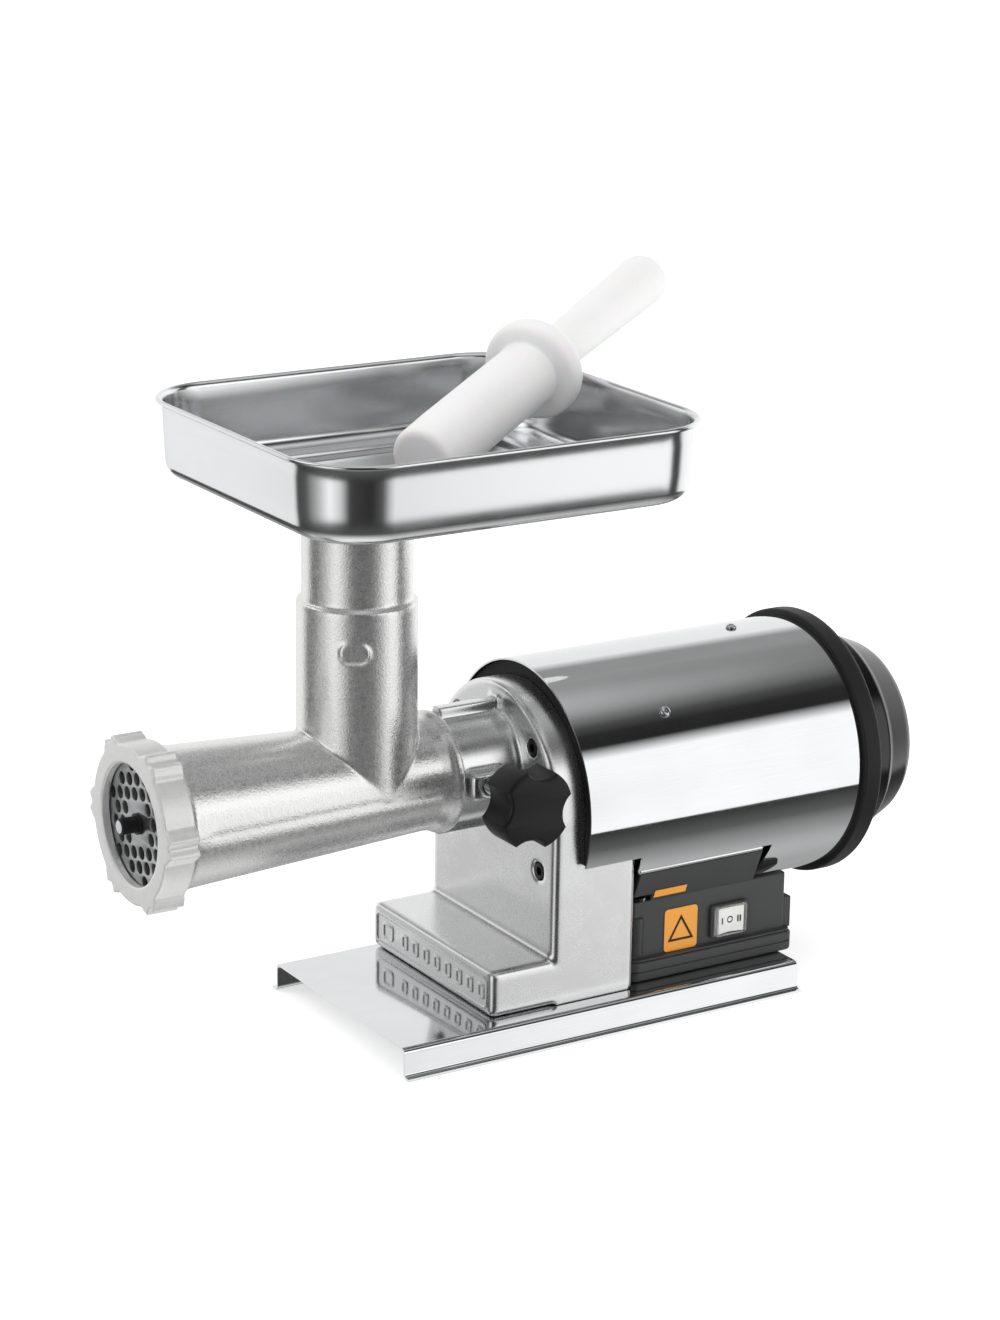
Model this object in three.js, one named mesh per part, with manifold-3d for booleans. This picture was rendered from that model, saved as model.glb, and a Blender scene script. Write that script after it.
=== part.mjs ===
// Electric meat grinder with a size 22 head: base plate, cast gear case, motor under a sheet cover,
// clamped grinding head with worm, knife, plate and ring nut, feed tray and pusher.
// Millimetres, +Z up. The head points along -Y and the clamp knob is on the +X side.
import * as THREE from "three";
import { mergeVertices } from "three/addons/utils/BufferGeometryUtils.js";
import Module from "manifold-3d";

const wasm = await Module();
wasm.setup();

// ---- Driving dimensions ------------------------------------------------------------------------
const GAP = 0.3; // between neighbours that touch
const ORIGIN_Y = -11.25; // moves the model so that its box is centred on the origin

const WORM_Z = 158.1; // axis of worm, plate, ring nut and output shaft
const MOTOR_Z = 136; // axis of motor, cover and cowl

const BASE = { x: 5.4, half: 81, front: -115.8, rear: 174.4, top: 19.1, sheet: 1.5, bend: 4, foot: 5 };
const CASE = { half: 72.9, front: -3, rear: 57, wall: 7, edge: 3.5, floor: 84 };
const TOE = { front: -47, top: 49.3, rim: 6, recess: 1 };
const NOSE = { r: 33.8, bore: 27.4, front: -46, end: -12, rib: 4.5, ribOut: 41 };
const BEARING_BORE = { r: 24.3, from: -8, to: 5 };
const BARREL = { front: -247, frontR: 43.7, rear: -46, rearR: 35.2, flangeR: 38.5, spigotR: 27 };
const THROAT = { y: -101, r: 36.8, step: 276.8, neckR: 33.7, top: 341.7, bore: 27.9 };
const RING = { front: -254, rear: -234, opening: 37, r: 48.5, lugR: 54.1, thread: 45.4, lugs: 6 };
const PLATE = { front: -248, rear: -240, r: 41, hole: 3.9, hub: 5.4 };
const PLATE_HOLES = { pitch: 10.2, turn: 13, from: 15, to: 36 }; // hexagonal grid, turned clear of the key
const KNIFE = { front: -239.7, rear: -230.2, r: 33 };
const WORM = { front: -229.5, rear: -60, frontR: 31, rearR: 26, core: 0.46, turns: 3.5, steps: 26 };
const DRIVE = { journal: 15.5, half: 8, from: -16, to: 2 };
const STUD = { r: 5, tip: -260.5, square: 6 };
const TRAY = { half: 123.2, front: -190.8, rear: 81.8, bottom: 342, lip: 389.3, lipOut: 5, sheet: 1.2 };
const TRAY_FORM = { corner: 42, edge: 12, draft: 3 };
const PUSHER = { rammer: 20.8, length: 141, flange: 32, thick: 18, grip: 13.9, gripEnd: 16.7, grab: 155 };
const PUSHER_POSE = { x: -32.5, y: 41.7, z: 395.7, azimuth: -29, elevation: 12.8 };
const COVER = { r: 83.1, sheet: 1.2, front: 16, rear: 221.6, skirt: 107.6, cut: 97, cutTo: 160 };
const BAND = { from: 18, to: 26 };
const REAR_RING = { r: 87, rear: 236, inner: 66 };
const COWL = { r: 70, rear: 283, endR: 58.6, wall: 2.2, face: 54 };
const SHIELD = { front: 57.3, rear: 70, r: 68 };
const FRAME = { r: 66, inner: 60.3, from: 70.3, to: 199.7 };
const REAR_SHIELD = { front: 200, rear: 210 };
const STATOR = { from: 90, to: 160, bore: 34.6, r: 60 };
const ROTOR = { r: 34, shaft: 6 };
const BOX = { half: 62, base: 67, front: 60, rear: 185, split: 32, top: 71, wall: 2.2, clear: 85.5 };
const LIP = { lean: 22, foot: 61.9, low: -3, rise: 24, sheet: 1.6, rear: 155 };
const LIP_NOTCH = { x: 67, y: 76, z: 76 }; // room for the lid's screw
const SADDLE_LABEL = { from: 77, to: 101, low: 2.5, high: 8, thick: 0.35 };
const SWITCH = { y: 135.3, z: 48.3, halfY: 14.25, halfZ: 11, openY: 11, openZ: 9.1, out: 3 };
const LABEL = { y0: 86.6, y1: 111.6, z0: 34, z1: 62.4, thick: 0.4 };
const KNOB = { y: -31, z: 158.5, from: 70, to: 96, r: 21.4, lobe: 3.8, phase: 36 };
const CASE_BOLTS = [[43.1, 178.3], [-43.1, 178.3], [53.8, 101.9], [-53.8, 101.9]];
const BASE_BOLTS = [[50, -30], [-50, -30], [50, 38], [-50, 38]];

// Two gear stages: motor pinion to idler gear, idler pinion to output gear.
const STAGE_1 = { module: 1.5, pinion: 10, gear: 30, from: 30, to: 40 };
const STAGE_2 = { module: 2.4, pinion: 10, gear: 30, from: 10, to: 26 };
const centreDistance = (stage) => (stage.module * (stage.pinion + stage.gear)) / 2;

/** Idler axis: where the circles of the two centre distances cross, on the -X side. */
function idlerAxis() {
  const first = centreDistance(STAGE_1);
  const second = centreDistance(STAGE_2);
  const rise = WORM_Z - MOTOR_Z;
  const up = (first ** 2 - second ** 2 + rise ** 2) / (2 * rise);
  return { x: -Math.sqrt(first ** 2 - up ** 2), z: MOTOR_Z + up };
}
const IDLER = idlerAxis();

// Sides of round pieces, by how large they are.
const LARGE = 36;
const MEDIUM = 24;
const SMALL = 16;
const TINY = 8;

// ---- Finishes ----------------------------------------------------------------------------------
const finish = (color, roughness, metalness) => ({ color, roughness, metalness });
const STAINLESS = finish(0xc9cacb, 0.22, 1);
const CAST_ALUMINIUM = finish(0xc4c4c2, 0.42, 0.9);
const TINNED_IRON = finish(0xbcbcb8, 0.45, 0.9);
const STEEL = finish(0x8c8f93, 0.35, 1);
const DARK_STEEL = finish(0x2a2b2d, 0.45, 0.8);
const BLACK_PLASTIC = finish(0x1b1b1c, 0.5, 0);
const GLOSS_BLACK = finish(0x141415, 0.2, 0);
const GREY_PLASTIC = finish(0x4b4c4e, 0.6, 0);
const WHITE_PLASTIC = finish(0xf1f1ee, 0.5, 0);
const ORANGE_LABEL = finish(0xf0a23c, 0.6, 0);
const COPPER = finish(0xa8603a, 0.45, 0.7);
const RUBBER = finish(0x202020, 0.8, 0);

// ---- Solids ------------------------------------------------------------------------------------
/** Closed three.js geometry as a solid for joining and cutting. */
function solid(geometry) {
  const bare = geometry.clone();
  bare.deleteAttribute("normal");
  bare.deleteAttribute("uv");
  const merged = mergeVertices(bare, 1e-4);
  const points = merged.attributes.position.array;
  const index = merged.index.array;
  const corner = (i) => new THREE.Vector3().fromArray(points, 3 * index[i]);
  const faces = [];
  let volume = 0;
  for (let i = 0; i < index.length; i += 3) {
    const [a, b, c] = [index[i], index[i + 1], index[i + 2]];
    if (a === b || b === c || c === a) continue;
    faces.push([a, b, c]);
    volume += corner(i).dot(corner(i + 1).cross(corner(i + 2)));
  }
  const outward = faces.map(([a, b, c]) => (volume < 0 ? [a, c, b] : [a, b, c]));
  const mesh = new wasm.Mesh({
    numProp: 3,
    vertProperties: new Float32Array(points),
    triVerts: new Uint32Array(outward.flat()),
  });
  return new wasm.Manifold(mesh);
}

/** Solid back to a three.js geometry. */
function surface(body) {
  const { vertProperties, triVerts } = body.getMesh();
  const geometry = new THREE.BufferGeometry();
  geometry.setAttribute("position", new THREE.BufferAttribute(new Float32Array(vertProperties), 3));
  geometry.setIndex(new THREE.BufferAttribute(new Uint32Array(triVerts), 1));
  geometry.computeVertexNormals();
  return geometry;
}

const join = (...bodies) => bodies.reduce((sum, body) => sum.add(body));
const cut = (body, ...tools) => tools.reduce((rest, tool) => rest.subtract(tool), body);

/** Turns a geometry made round the Y axis, or extruded along Z, to lie along the axis asked for. */
const LIE = {
  x: new THREE.Matrix4().makeBasis(
    new THREE.Vector3(0, 1, 0), new THREE.Vector3(1, 0, 0), new THREE.Vector3(0, 0, -1)),
  y: new THREE.Matrix4(),
  z: new THREE.Matrix4().makeRotationX(Math.PI / 2),
};
const RISE = {
  x: new THREE.Matrix4().makeBasis(
    new THREE.Vector3(0, 1, 0), new THREE.Vector3(0, 0, 1), new THREE.Vector3(1, 0, 0)),
  y: new THREE.Matrix4().makeRotationX(Math.PI / 2),
  z: new THREE.Matrix4(),
};
const PLACE = {
  x: (along, p, q) => [along, p, q],
  y: (along, p, q) => [p, along, q],
  z: (along, p, q) => [p, q, along],
};

/** Block between two corners. */
function block(x0, x1, y0, y1, z0, z1) {
  const geometry = new THREE.BoxGeometry(x1 - x0, y1 - y0, z1 - z0);
  geometry.translate((x0 + x1) / 2, (y0 + y1) / 2, (z0 + z1) / 2);
  return solid(geometry);
}

/** Rod along an axis from one place to another, centred at (p, q) in the other two. */
function rod(axis, radius, from, to, p = 0, q = 0, sides = SMALL) {
  const geometry = new THREE.CylinderGeometry(radius, radius, to - from, sides);
  geometry.applyMatrix4(LIE[axis]);
  geometry.translate(...PLACE[axis]((from + to) / 2, p, q));
  return solid(geometry);
}

/** Body of revolution from a closed profile of [radius, place along the axis]. */
function turned(axis, profile, p = 0, q = 0, sides = MEDIUM) {
  const points = [...profile, profile[0]].map(([r, along]) => new THREE.Vector2(r, along));
  const geometry = new THREE.LatheGeometry(points, sides);
  geometry.applyMatrix4(LIE[axis]);
  geometry.translate(...PLACE[axis](0, p, q));
  return solid(geometry);
}

/** Ring along an axis. */
const ring = (axis, inner, outer, from, to, p, q, sides) =>
  turned(axis, [[inner, from], [outer, from], [outer, to], [inner, to]], p, q, sides);

/** Flat shape extruded along an axis, with rounded ends where a bevel is given. */
function slab(axis, shape, from, to, bevel = 0, curveSegments = 8) {
  const geometry = new THREE.ExtrudeGeometry(shape, {
    depth: to - from - 2 * bevel,
    curveSegments,
    bevelEnabled: bevel > 0,
    bevelThickness: bevel,
    bevelSize: bevel,
    bevelOffset: -bevel,
    bevelSegments: 1,
  });
  geometry.applyMatrix4(RISE[axis]);
  const start = axis === "y" ? to - bevel : from + bevel;
  geometry.translate(...PLACE[axis](start, 0, 0));
  return solid(geometry);
}

/** Round-topped outline standing on a flat foot. */
function archShape(half, centreZ, foot) {
  const shape = new THREE.Shape();
  shape.moveTo(-half, foot);
  shape.lineTo(half, foot);
  shape.lineTo(half, centreZ);
  shape.absarc(0, centreZ, half, 0, Math.PI, false);
  shape.lineTo(-half, foot);
  return shape;
}

/** Rectangle with round corners, centred at (u, v). */
function roundedRectangle(u, v, halfU, halfV, radius) {
  const shape = new THREE.Shape();
  const corners = [[1, -1, -0.5], [1, 1, 0], [-1, 1, 0.5], [-1, -1, 1]];
  shape.moveTo(u - halfU + radius, v - halfV);
  for (const [su, sv, turn] of corners) {
    const start = turn * Math.PI;
    shape.absarc(u + su * (halfU - radius), v + sv * (halfV - radius), radius, start, start + Math.PI / 2);
  }
  return shape;
}

/** Closed outline through points worked out by a function of the angle. */
function polarShape(count, radiusAt, u = 0, v = 0) {
  const points = Array.from({ length: count }, (_, i) => {
    const angle = (2 * Math.PI * i) / count;
    const radius = radiusAt(angle, i);
    return new THREE.Vector2(u + radius * Math.cos(angle), v + radius * Math.sin(angle));
  });
  return new THREE.Shape(points);
}

/** Spur gear outline with straight-sided teeth, one of them centred at the phase angle. */
function gearShape(teeth, module, phase, u, v) {
  const pitchRadius = (teeth * module) / 2;
  const tip = pitchRadius + 0.75 * module;
  const root = pitchRadius - 1.15 * module;
  const pitch = (2 * Math.PI) / teeth;
  const points = [];
  for (let i = 0; i < teeth; i += 1) {
    for (const [share, radius] of [[-0.26, root], [-0.09, tip], [0.09, tip], [0.26, root]]) {
      const angle = phase + pitch * (i + share);
      points.push(new THREE.Vector2(u + radius * Math.cos(angle), v + radius * Math.sin(angle)));
    }
  }
  return new THREE.Shape(points);
}

const model = new THREE.Group();

/** Adds a named node. */
function node(name, body, { color, roughness, metalness }) {
  const material = new THREE.MeshStandardMaterial({ color, roughness, metalness });
  const mesh = new THREE.Mesh(surface(body), material);
  mesh.name = name;
  model.add(mesh);
}

/** Cap screw along -Y with a hexagon socket; its head's face is at `face`. */
function capScrew(x, z, face, headR, headDeep, shankR, end) {
  const head = rod("y", headR, face, face + headDeep, x, z, 12);
  const shank = rod("y", shankR, face + headDeep - 1, end, x, z, 8);
  return cut(join(head, shank), rod("y", headR * 0.5, face - 1, face + headDeep * 0.5, x, z, 6));
}

// ---- Base plate --------------------------------------------------------------------------------
function basePlate() {
  const { half, top, sheet, bend, foot } = BASE;
  const curl = foot / 2;
  const inner = bend - sheet;
  const section = new THREE.Shape();
  section.moveTo(-half - foot, sheet);
  section.absarc(-half - curl, sheet + curl, curl, -Math.PI / 2, 0, false);
  section.absarc(-half + bend, top - bend, bend, Math.PI, Math.PI / 2, true);
  section.absarc(half - bend, top - bend, bend, Math.PI / 2, 0, true);
  section.absarc(half + curl, sheet + curl, curl, Math.PI, 1.5 * Math.PI, false);
  section.lineTo(half + foot, sheet);
  section.lineTo(half + foot, 0);
  section.absarc(half + curl, sheet + curl, curl + sheet, 1.5 * Math.PI, Math.PI, true);
  section.absarc(half - bend, top - bend, inner, 0, Math.PI / 2, false);
  section.absarc(-half + bend, top - bend, inner, Math.PI / 2, Math.PI, false);
  section.absarc(-half - curl, sheet + curl, curl + sheet, 0, -Math.PI / 2, true);
  section.lineTo(-half - foot, 0);
  const plate = slab("y", section, BASE.front, BASE.rear, 0, 3).translate([BASE.x, 0, 0]);
  const holes = BASE_BOLTS.map(([x, y]) => rod("z", 4.4, 0, top + 1, x, y, TINY));
  return cut(plate, ...holes);
}

function baseBolts() {
  const seat = BASE.top - BASE.sheet - GAP;
  BASE_BOLTS.forEach(([x, y], i) => {
    const bolt = join(rod("z", 7, seat - 5.5, seat, x, y, 6), rod("z", 3.9, seat - 1, 38, x, y, TINY));
    node(`base_bolt_${i + 1}`, bolt, STEEL);
  });
}

// ---- Gear case ---------------------------------------------------------------------------------
function gearCase() {
  const foot = BASE.top + GAP;
  const { half, front, rear, wall, edge, floor } = CASE;
  const upright = slab("y", archShape(half, MOTOR_Z, foot), front, rear, edge, 12);
  const toeFace = roundedRectangle(0, (foot + TOE.top) / 2, half, (TOE.top - foot) / 2, edge + 1);
  const toe = slab("y", toeFace, TOE.front, front + 12, edge, 2);
  const fillet = 4;
  const web = new THREE.Shape();
  web.moveTo(front + 1, TOE.top - 1);
  web.lineTo(front - fillet, TOE.top);
  web.absarc(front - fillet, TOE.top + fillet, fillet, -Math.PI / 2, 0, false);
  web.lineTo(front + 1, TOE.top + fillet);
  const root = slab("x", web, edge - half, half - edge, 0, 2);
  const nose = turned("y", [
    [0, NOSE.front], [NOSE.r, NOSE.front], [NOSE.r, front - 9], [NOSE.r + 2, front - 4],
    [NOSE.r + 7, front + 1], [0, front + 1],
  ], 0, WORM_Z);
  const ribs = [1, -1].map((side) => {
    const reach = WORM_Z + side * NOSE.ribOut;
    const near = WORM_Z + side * (NOSE.r - 2);
    return block(-NOSE.rib, NOSE.rib, NOSE.front, front + 1, Math.min(near, reach), Math.max(near, reach));
  });
  const bossFace = roundedRectangle(KNOB.y, KNOB.z, 13, 8.5, 3);
  const boss = slab("x", bossFace, 22, 44, 1.5, 2);
  const shell = join(upright, toe, root, nose, ...ribs, boss);

  const inside = front + wall + 1;
  const cavity = slab("y", archShape(half - wall, MOTOR_Z, floor + 6), inside, rear + 1, 0, 10);
  const pillars = CASE_BOLTS.map(([x, z]) => rod("y", 7, inside - 1, rear + 2, x, z, TINY));
  const underToe = block(wall - half, half - wall, TOE.front + 5, inside, 0, TOE.top - 5);
  const underUpright = block(wall - half, half - wall, inside - 1, rear - wall, 0, floor - 4);
  const columns = BASE_BOLTS.map(([x, y]) => rod("z", 9, 0, floor, x, y, TINY));
  const recess = block(
    TOE.rim - half, half - TOE.rim, TOE.front - 1, TOE.front + TOE.recess, foot + 5, TOE.top - 5);

  return cut(shell,
    cut(cavity, ...pillars),
    cut(join(underToe, underUpright), ...columns),
    recess,
    rod("y", NOSE.bore, NOSE.front - 1, NOSE.end, 0, WORM_Z, MEDIUM),
    rod("y", 22, NOSE.end - 1, BEARING_BORE.from + 1, 0, WORM_Z, SMALL),
    rod("y", BEARING_BORE.r, BEARING_BORE.from, BEARING_BORE.to + 1, 0, WORM_Z, SMALL),
    rod("y", 5.6, 1, inside + 1, IDLER.x, IDLER.z, TINY),
    rod("x", 5.6, 20, 46, KNOB.y, KNOB.z, 12),
    ...CASE_BOLTS.map(([x, z]) => rod("y", 3.5, front, rear + 3, x, z, 8)),
    ...CASE_BOLTS.map(([x, z]) => rod("y", 5.7, front - 1, front + 6, x, z, 12)),
    ...BASE_BOLTS.map(([x, y]) => rod("z", 4.4, 0, 41, x, y, TINY)),
  );
}

function clampScrewAndKnob() {
  const screw = rod("x", STUD.r, BARREL.spigotR + 0.4, KNOB.to - 4, KNOB.y, KNOB.z, 12);
  node("clamp_screw", screw, STEEL);
  const phase = THREE.MathUtils.degToRad(KNOB.phase);
  const star = polarShape(32, (angle) => KNOB.r + KNOB.lobe * Math.cos(4 * (angle - phase)), KNOB.y, KNOB.z);
  const grip = slab("x", star, KNOB.from, KNOB.to, 3);
  const hub = rod("x", 11, KNOB.from - 8, KNOB.from + 2, KNOB.y, KNOB.z, 16);
  const bore = rod("x", STUD.r + 2 * GAP, KNOB.from - 9, KNOB.to - 3.5, KNOB.y, KNOB.z, 12);
  node("clamp_knob", cut(join(grip, hub), bore), BLACK_PLASTIC);
}

// ---- Gear train --------------------------------------------------------------------------------
/** Places of the teeth: each pinion has a tooth on the line of centres, each gear has a gap. */
function meshing(fromX, fromZ, toX, toZ, gearTeeth) {
  const line = Math.atan2(toZ - fromZ, toX - fromX);
  return { tooth: line, gap: line + Math.PI + Math.PI / gearTeeth };
}

function gearTrain() {
  const first = meshing(0, MOTOR_Z, IDLER.x, IDLER.z, STAGE_1.gear);
  const second = meshing(IDLER.x, IDLER.z, 0, WORM_Z, STAGE_2.gear);
  const wheel = (stage, teeth, phase, x, z, extra = 0) =>
    slab("y", gearShape(teeth, stage.module, phase, x, z), stage.from - extra, stage.to + extra);

  const shaft = join(
    rod("y", ROTOR.shaft, STAGE_1.from - 2, 258, 0, MOTOR_Z, 16),
    wheel(STAGE_1, STAGE_1.pinion, first.tooth, 0, MOTOR_Z, 1));
  node("motor_shaft", shaft, STEEL);

  const idlerBore = rod("y", 5 + 2 * GAP, 0, 60, IDLER.x, IDLER.z, 12);
  const idlerGear = wheel(STAGE_1, STAGE_1.gear, first.gap, IDLER.x, IDLER.z);
  node("idler_gear", cut(idlerGear, idlerBore), STEEL);
  const idlerPinion = wheel(STAGE_2, STAGE_2.pinion, second.tooth, IDLER.x, IDLER.z, 1);
  node("idler_pinion", cut(idlerPinion, idlerBore), STEEL);
  node("idler_shaft", rod("y", 5, 1.5, 62, IDLER.x, IDLER.z, 12), STEEL);

  const outputGear = wheel(STAGE_2, STAGE_2.gear, second.gap, 0, WORM_Z);
  node("output_gear", cut(outputGear, rod("y", 12 + 2 * GAP, 0, 60, 0, WORM_Z)), STEEL);
  const socket = block(-DRIVE.half - 0.4, DRIVE.half + 0.4, -13, 3, WORM_Z - DRIVE.half - 0.4,
    WORM_Z + DRIVE.half + 0.4);
  const outputShaft = turned("y", [
    [0, -11], [15, -11], [15, 8], [12, 8], [12, 28], [5, 28], [5, 54], [0, 54],
  ], 0, WORM_Z, SMALL);
  node("output_shaft", cut(outputShaft, socket), STEEL);
  node("output_front_bearing", ring("y", 15 + 2 * GAP, 23.7, -7.7, 4.7, 0, WORM_Z, SMALL), STEEL);
  node("output_rear_bearing", ring("y", 5 + 2 * GAP, 11.5, 47, 55, 0, WORM_Z, SMALL), STEEL);
  node("shaft_seal", ring("y", 15 + 2 * GAP, 21.4, -11.5, -8.3, 0, WORM_Z, SMALL), RUBBER);
}

// ---- Motor -------------------------------------------------------------------------------------
const COVER_SCREWS = [
  { name: "cover_screw_top", y: 175, angle: 90 },
  { name: "cover_screw_right", y: 83.3, angle: 43.5 },
  { name: "cover_screw_left", y: 83.3, angle: 136.5 },
];

/** Rod that points out from the motor axis. */
function radialRod(radius, fromR, toR, y, degrees, sides) {
  const geometry = new THREE.CylinderGeometry(radius, radius, toR - fromR, sides);
  geometry.translate(0, (fromR + toR) / 2, 0);
  const turn = THREE.MathUtils.degToRad(degrees - 90);
  geometry.applyMatrix4(new THREE.Matrix4().makeRotationX(Math.PI / 2));
  geometry.applyMatrix4(new THREE.Matrix4().makeRotationY(-turn));
  geometry.translate(0, y, MOTOR_Z);
  return solid(geometry);
}

function motorFrontShield() {
  const disc = rod("y", SHIELD.r, SHIELD.front, SHIELD.rear, 0, MOTOR_Z, LARGE);
  const bearingBoss = rod("y", 14.2, 45.5, SHIELD.front + 1, 0, WORM_Z);
  return cut(join(disc, bearingBoss),
    rod("y", 12, 44, 55.5, 0, WORM_Z),
    rod("y", ROTOR.shaft + 1.4, 40, 80, 0, MOTOR_Z, 16),
    rod("y", 17.6, 60, 80, 0, MOTOR_Z),
    rod("y", 5.6, 50, 63, IDLER.x, IDLER.z, 12),
    ...CASE_BOLTS.map(([x, z]) => rod("y", 3.4, 50, 66, x, z, 8)));
}

function motorFrame() {
  const tube = ring("y", FRAME.inner, FRAME.r, FRAME.from, FRAME.to, 0, MOTOR_Z, LARGE);
  const reach = COVER.r - COVER.sheet - 3 * GAP;
  const posts = COVER_SCREWS.map(({ y, angle }) => radialRod(6, FRAME.inner + 3, reach, y, angle, TINY));
  const holes = COVER_SCREWS.map(({ y, angle }) => radialRod(2.4, reach - 9, reach + 1, y, angle, 8));
  return cut(join(tube, ...posts), ...holes);
}

function motor() {
  node("motor_front_shield", motorFrontShield(), CAST_ALUMINIUM);
  node("motor_frame", motorFrame(), DARK_STEEL);
  node("stator_core", ring("y", STATOR.bore, STATOR.r, STATOR.from, STATOR.to, 0, MOTOR_Z, MEDIUM), STEEL);
  const winding = (from, to) => turned("y", [
    [40, from], [54, from], [57, (from + to) / 2], [54, to], [40, to], [38, (from + to) / 2],
  ], 0, MOTOR_Z, SMALL);
  node("front_winding", winding(STATOR.from - 17, STATOR.from - GAP), COPPER);
  node("rear_winding", winding(STATOR.to + GAP, STATOR.to + 17), COPPER);
  const core = ring("y", ROTOR.shaft + 2 * GAP, ROTOR.r, STATOR.from - 2, STATOR.to + 2, 0, MOTOR_Z, SMALL);
  node("rotor_core", core, STEEL);
  const bearing = (from, to) => ring("y", ROTOR.shaft + 2 * GAP, 17, from, to, 0, MOTOR_Z, SMALL);
  node("motor_front_bearing", bearing(60.3, 69.7), STEEL);
  node("motor_rear_bearing", bearing(REAR_SHIELD.front + 0.3, REAR_SHIELD.front + 8), STEEL);
  const shield = cut(
    rod("y", FRAME.r, REAR_SHIELD.front, REAR_SHIELD.rear, 0, MOTOR_Z, LARGE),
    rod("y", 17.6, REAR_SHIELD.front - 1, REAR_SHIELD.front + 8.3, 0, MOTOR_Z),
    rod("y", ROTOR.shaft + 1.4, 190, 220, 0, MOTOR_Z, 16));
  node("motor_rear_shield", shield, CAST_ALUMINIUM);
  node("cooling_fan", fan(), BLACK_PLASTIC);
}

function fan() {
  const hub = rod("y", 13, 240, 256, 0, MOTOR_Z, 12);
  const backplate = rod("y", 52, 240, 242, 0, MOTOR_Z);
  const blades = Array.from({ length: 7 }, (_, i) => {
    const blade = block(10, 52, -1.2, 1.2, 0, 14);
    return blade.rotate([-90, 0, 0]).rotate([0, (360 * i) / 7, 0]).translate([0, 241, MOTOR_Z]);
  });
  return cut(join(hub, backplate, ...blades), rod("y", ROTOR.shaft + 2 * GAP, 230, 270, 0, MOTOR_Z, 12));
}

// ---- Cover, rear ring and cowl -----------------------------------------------------------------
function motorCover() {
  const inner = COVER.r - COVER.sheet;
  const shell = ring("y", inner, COVER.r, COVER.front, COVER.rear, 0, MOTOR_Z, LARGE);
  const window = slab("z", roundedRectangle(0, (CASE.rear + COVER.cutTo) / 2 - 10, 100,
    (COVER.cutTo - CASE.rear) / 2 + 10, 5), 0, COVER.cut, 0, 3);
  const cuts = [
    block(-100, 100, COVER.front - 1, CASE.rear + 1, 0, COVER.skirt),
    window,
    slab("z", roundedRectangle(18, 176, 14, 9, 8.5), 0, 80, 0, 4),
    ...COVER_SCREWS.map(({ y, angle }) => radialRod(2.4, 70, 90, y, angle, 8)),
  ];
  const bead = [-1, 1].map((side) => {
    const x = side * 71.4;
    return rod("y", 1.8, CASE.rear + 2, COVER.cutTo - 6, x, COVER.cut - 1.2, 8);
  });
  return join(cut(shell, ...cuts), ...bead);
}

function coverTrim() {
  const { from, to } = BAND;
  const band = rod("y", COVER.r - COVER.sheet - 2 * GAP, from, to, 0, MOTOR_Z, LARGE);
  const seat = slab("y", archShape(CASE.half + GAP, MOTOR_Z, 0), from - 1, to + 1, 0, 12);
  return cut(band, seat, block(-100, 100, 0, 40, 0, COVER.skirt + GAP));
}

function coverScrews() {
  for (const { name, y, angle } of COVER_SCREWS) {
    const head = radialRod(3.6, COVER.r + 0.2, COVER.r + 2.2, y, angle, TINY);
    const shank = radialRod(1.9, COVER.r - 9, COVER.r + 1, y, angle, 6);
    const slot = radialRod(1.2, COVER.r + 1.2, COVER.r + 3, y, angle, 4);
    node(name, cut(join(head, shank), slot), STEEL);
  }
}

function rearRing() {
  const lip = COVER.r - COVER.sheet - GAP;
  return turned("y", [
    [lip - 2.5, COVER.rear - 8], [lip, COVER.rear - 8], [lip, COVER.rear + GAP],
    [REAR_RING.r - 1.5, COVER.rear + GAP], [REAR_RING.r, COVER.rear + 2], [REAR_RING.r, REAR_RING.rear - 5],
    [REAR_RING.r - 2.5, REAR_RING.rear], [REAR_RING.inner, REAR_RING.rear],
    [REAR_RING.inner, REAR_RING.rear - 4], [lip - 2.5, REAR_RING.rear - 4],
  ], 0, MOTOR_Z, LARGE);
}

function fanCowl() {
  const from = REAR_RING.rear + GAP;
  const outer = [
    [COWL.r, from], [COWL.r - 0.5, from + 20], [66.5, from + 30], [COWL.endR, COWL.rear - 3],
    [COWL.face, COWL.rear], [0, COWL.rear],
  ];
  const inner = outer.map(([r, y]) => [Math.max(r - COWL.wall, 0), y === from ? y : y - COWL.wall]).reverse();
  const shell = turned("y", [...outer, ...inner], 0, MOTOR_Z, MEDIUM);
  const slots = Array.from({ length: 10 }, (_, i) => {
    const slot = block(18, 50, -2.2, 2.2, -6, 6);
    return slot.rotate([-90, 0, 0]).rotate([0, 36 * i, 0]).translate([0, COWL.rear - 2, MOTOR_Z]);
  });
  return cut(shell, ...slots);
}

// ---- Switch box --------------------------------------------------------------------------------
/** Sheet that leans outwards from the lid's top edge towards the motor cover. */
function leaning(side, low, high, under, over, y0, y1) {
  const lean = THREE.MathUtils.degToRad(LIP.lean);
  const corner = (along, out) => new THREE.Vector2(
    side * (LIP.foot + along * Math.sin(lean) + out * Math.cos(lean)),
    BOX.top + along * Math.cos(lean) - out * Math.sin(lean));
  const shape = new THREE.Shape([
    corner(low, under), corner(low, over), corner(high, over), corner(high, under),
  ]);
  return slab("y", shape, y0, y1);
}

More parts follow.
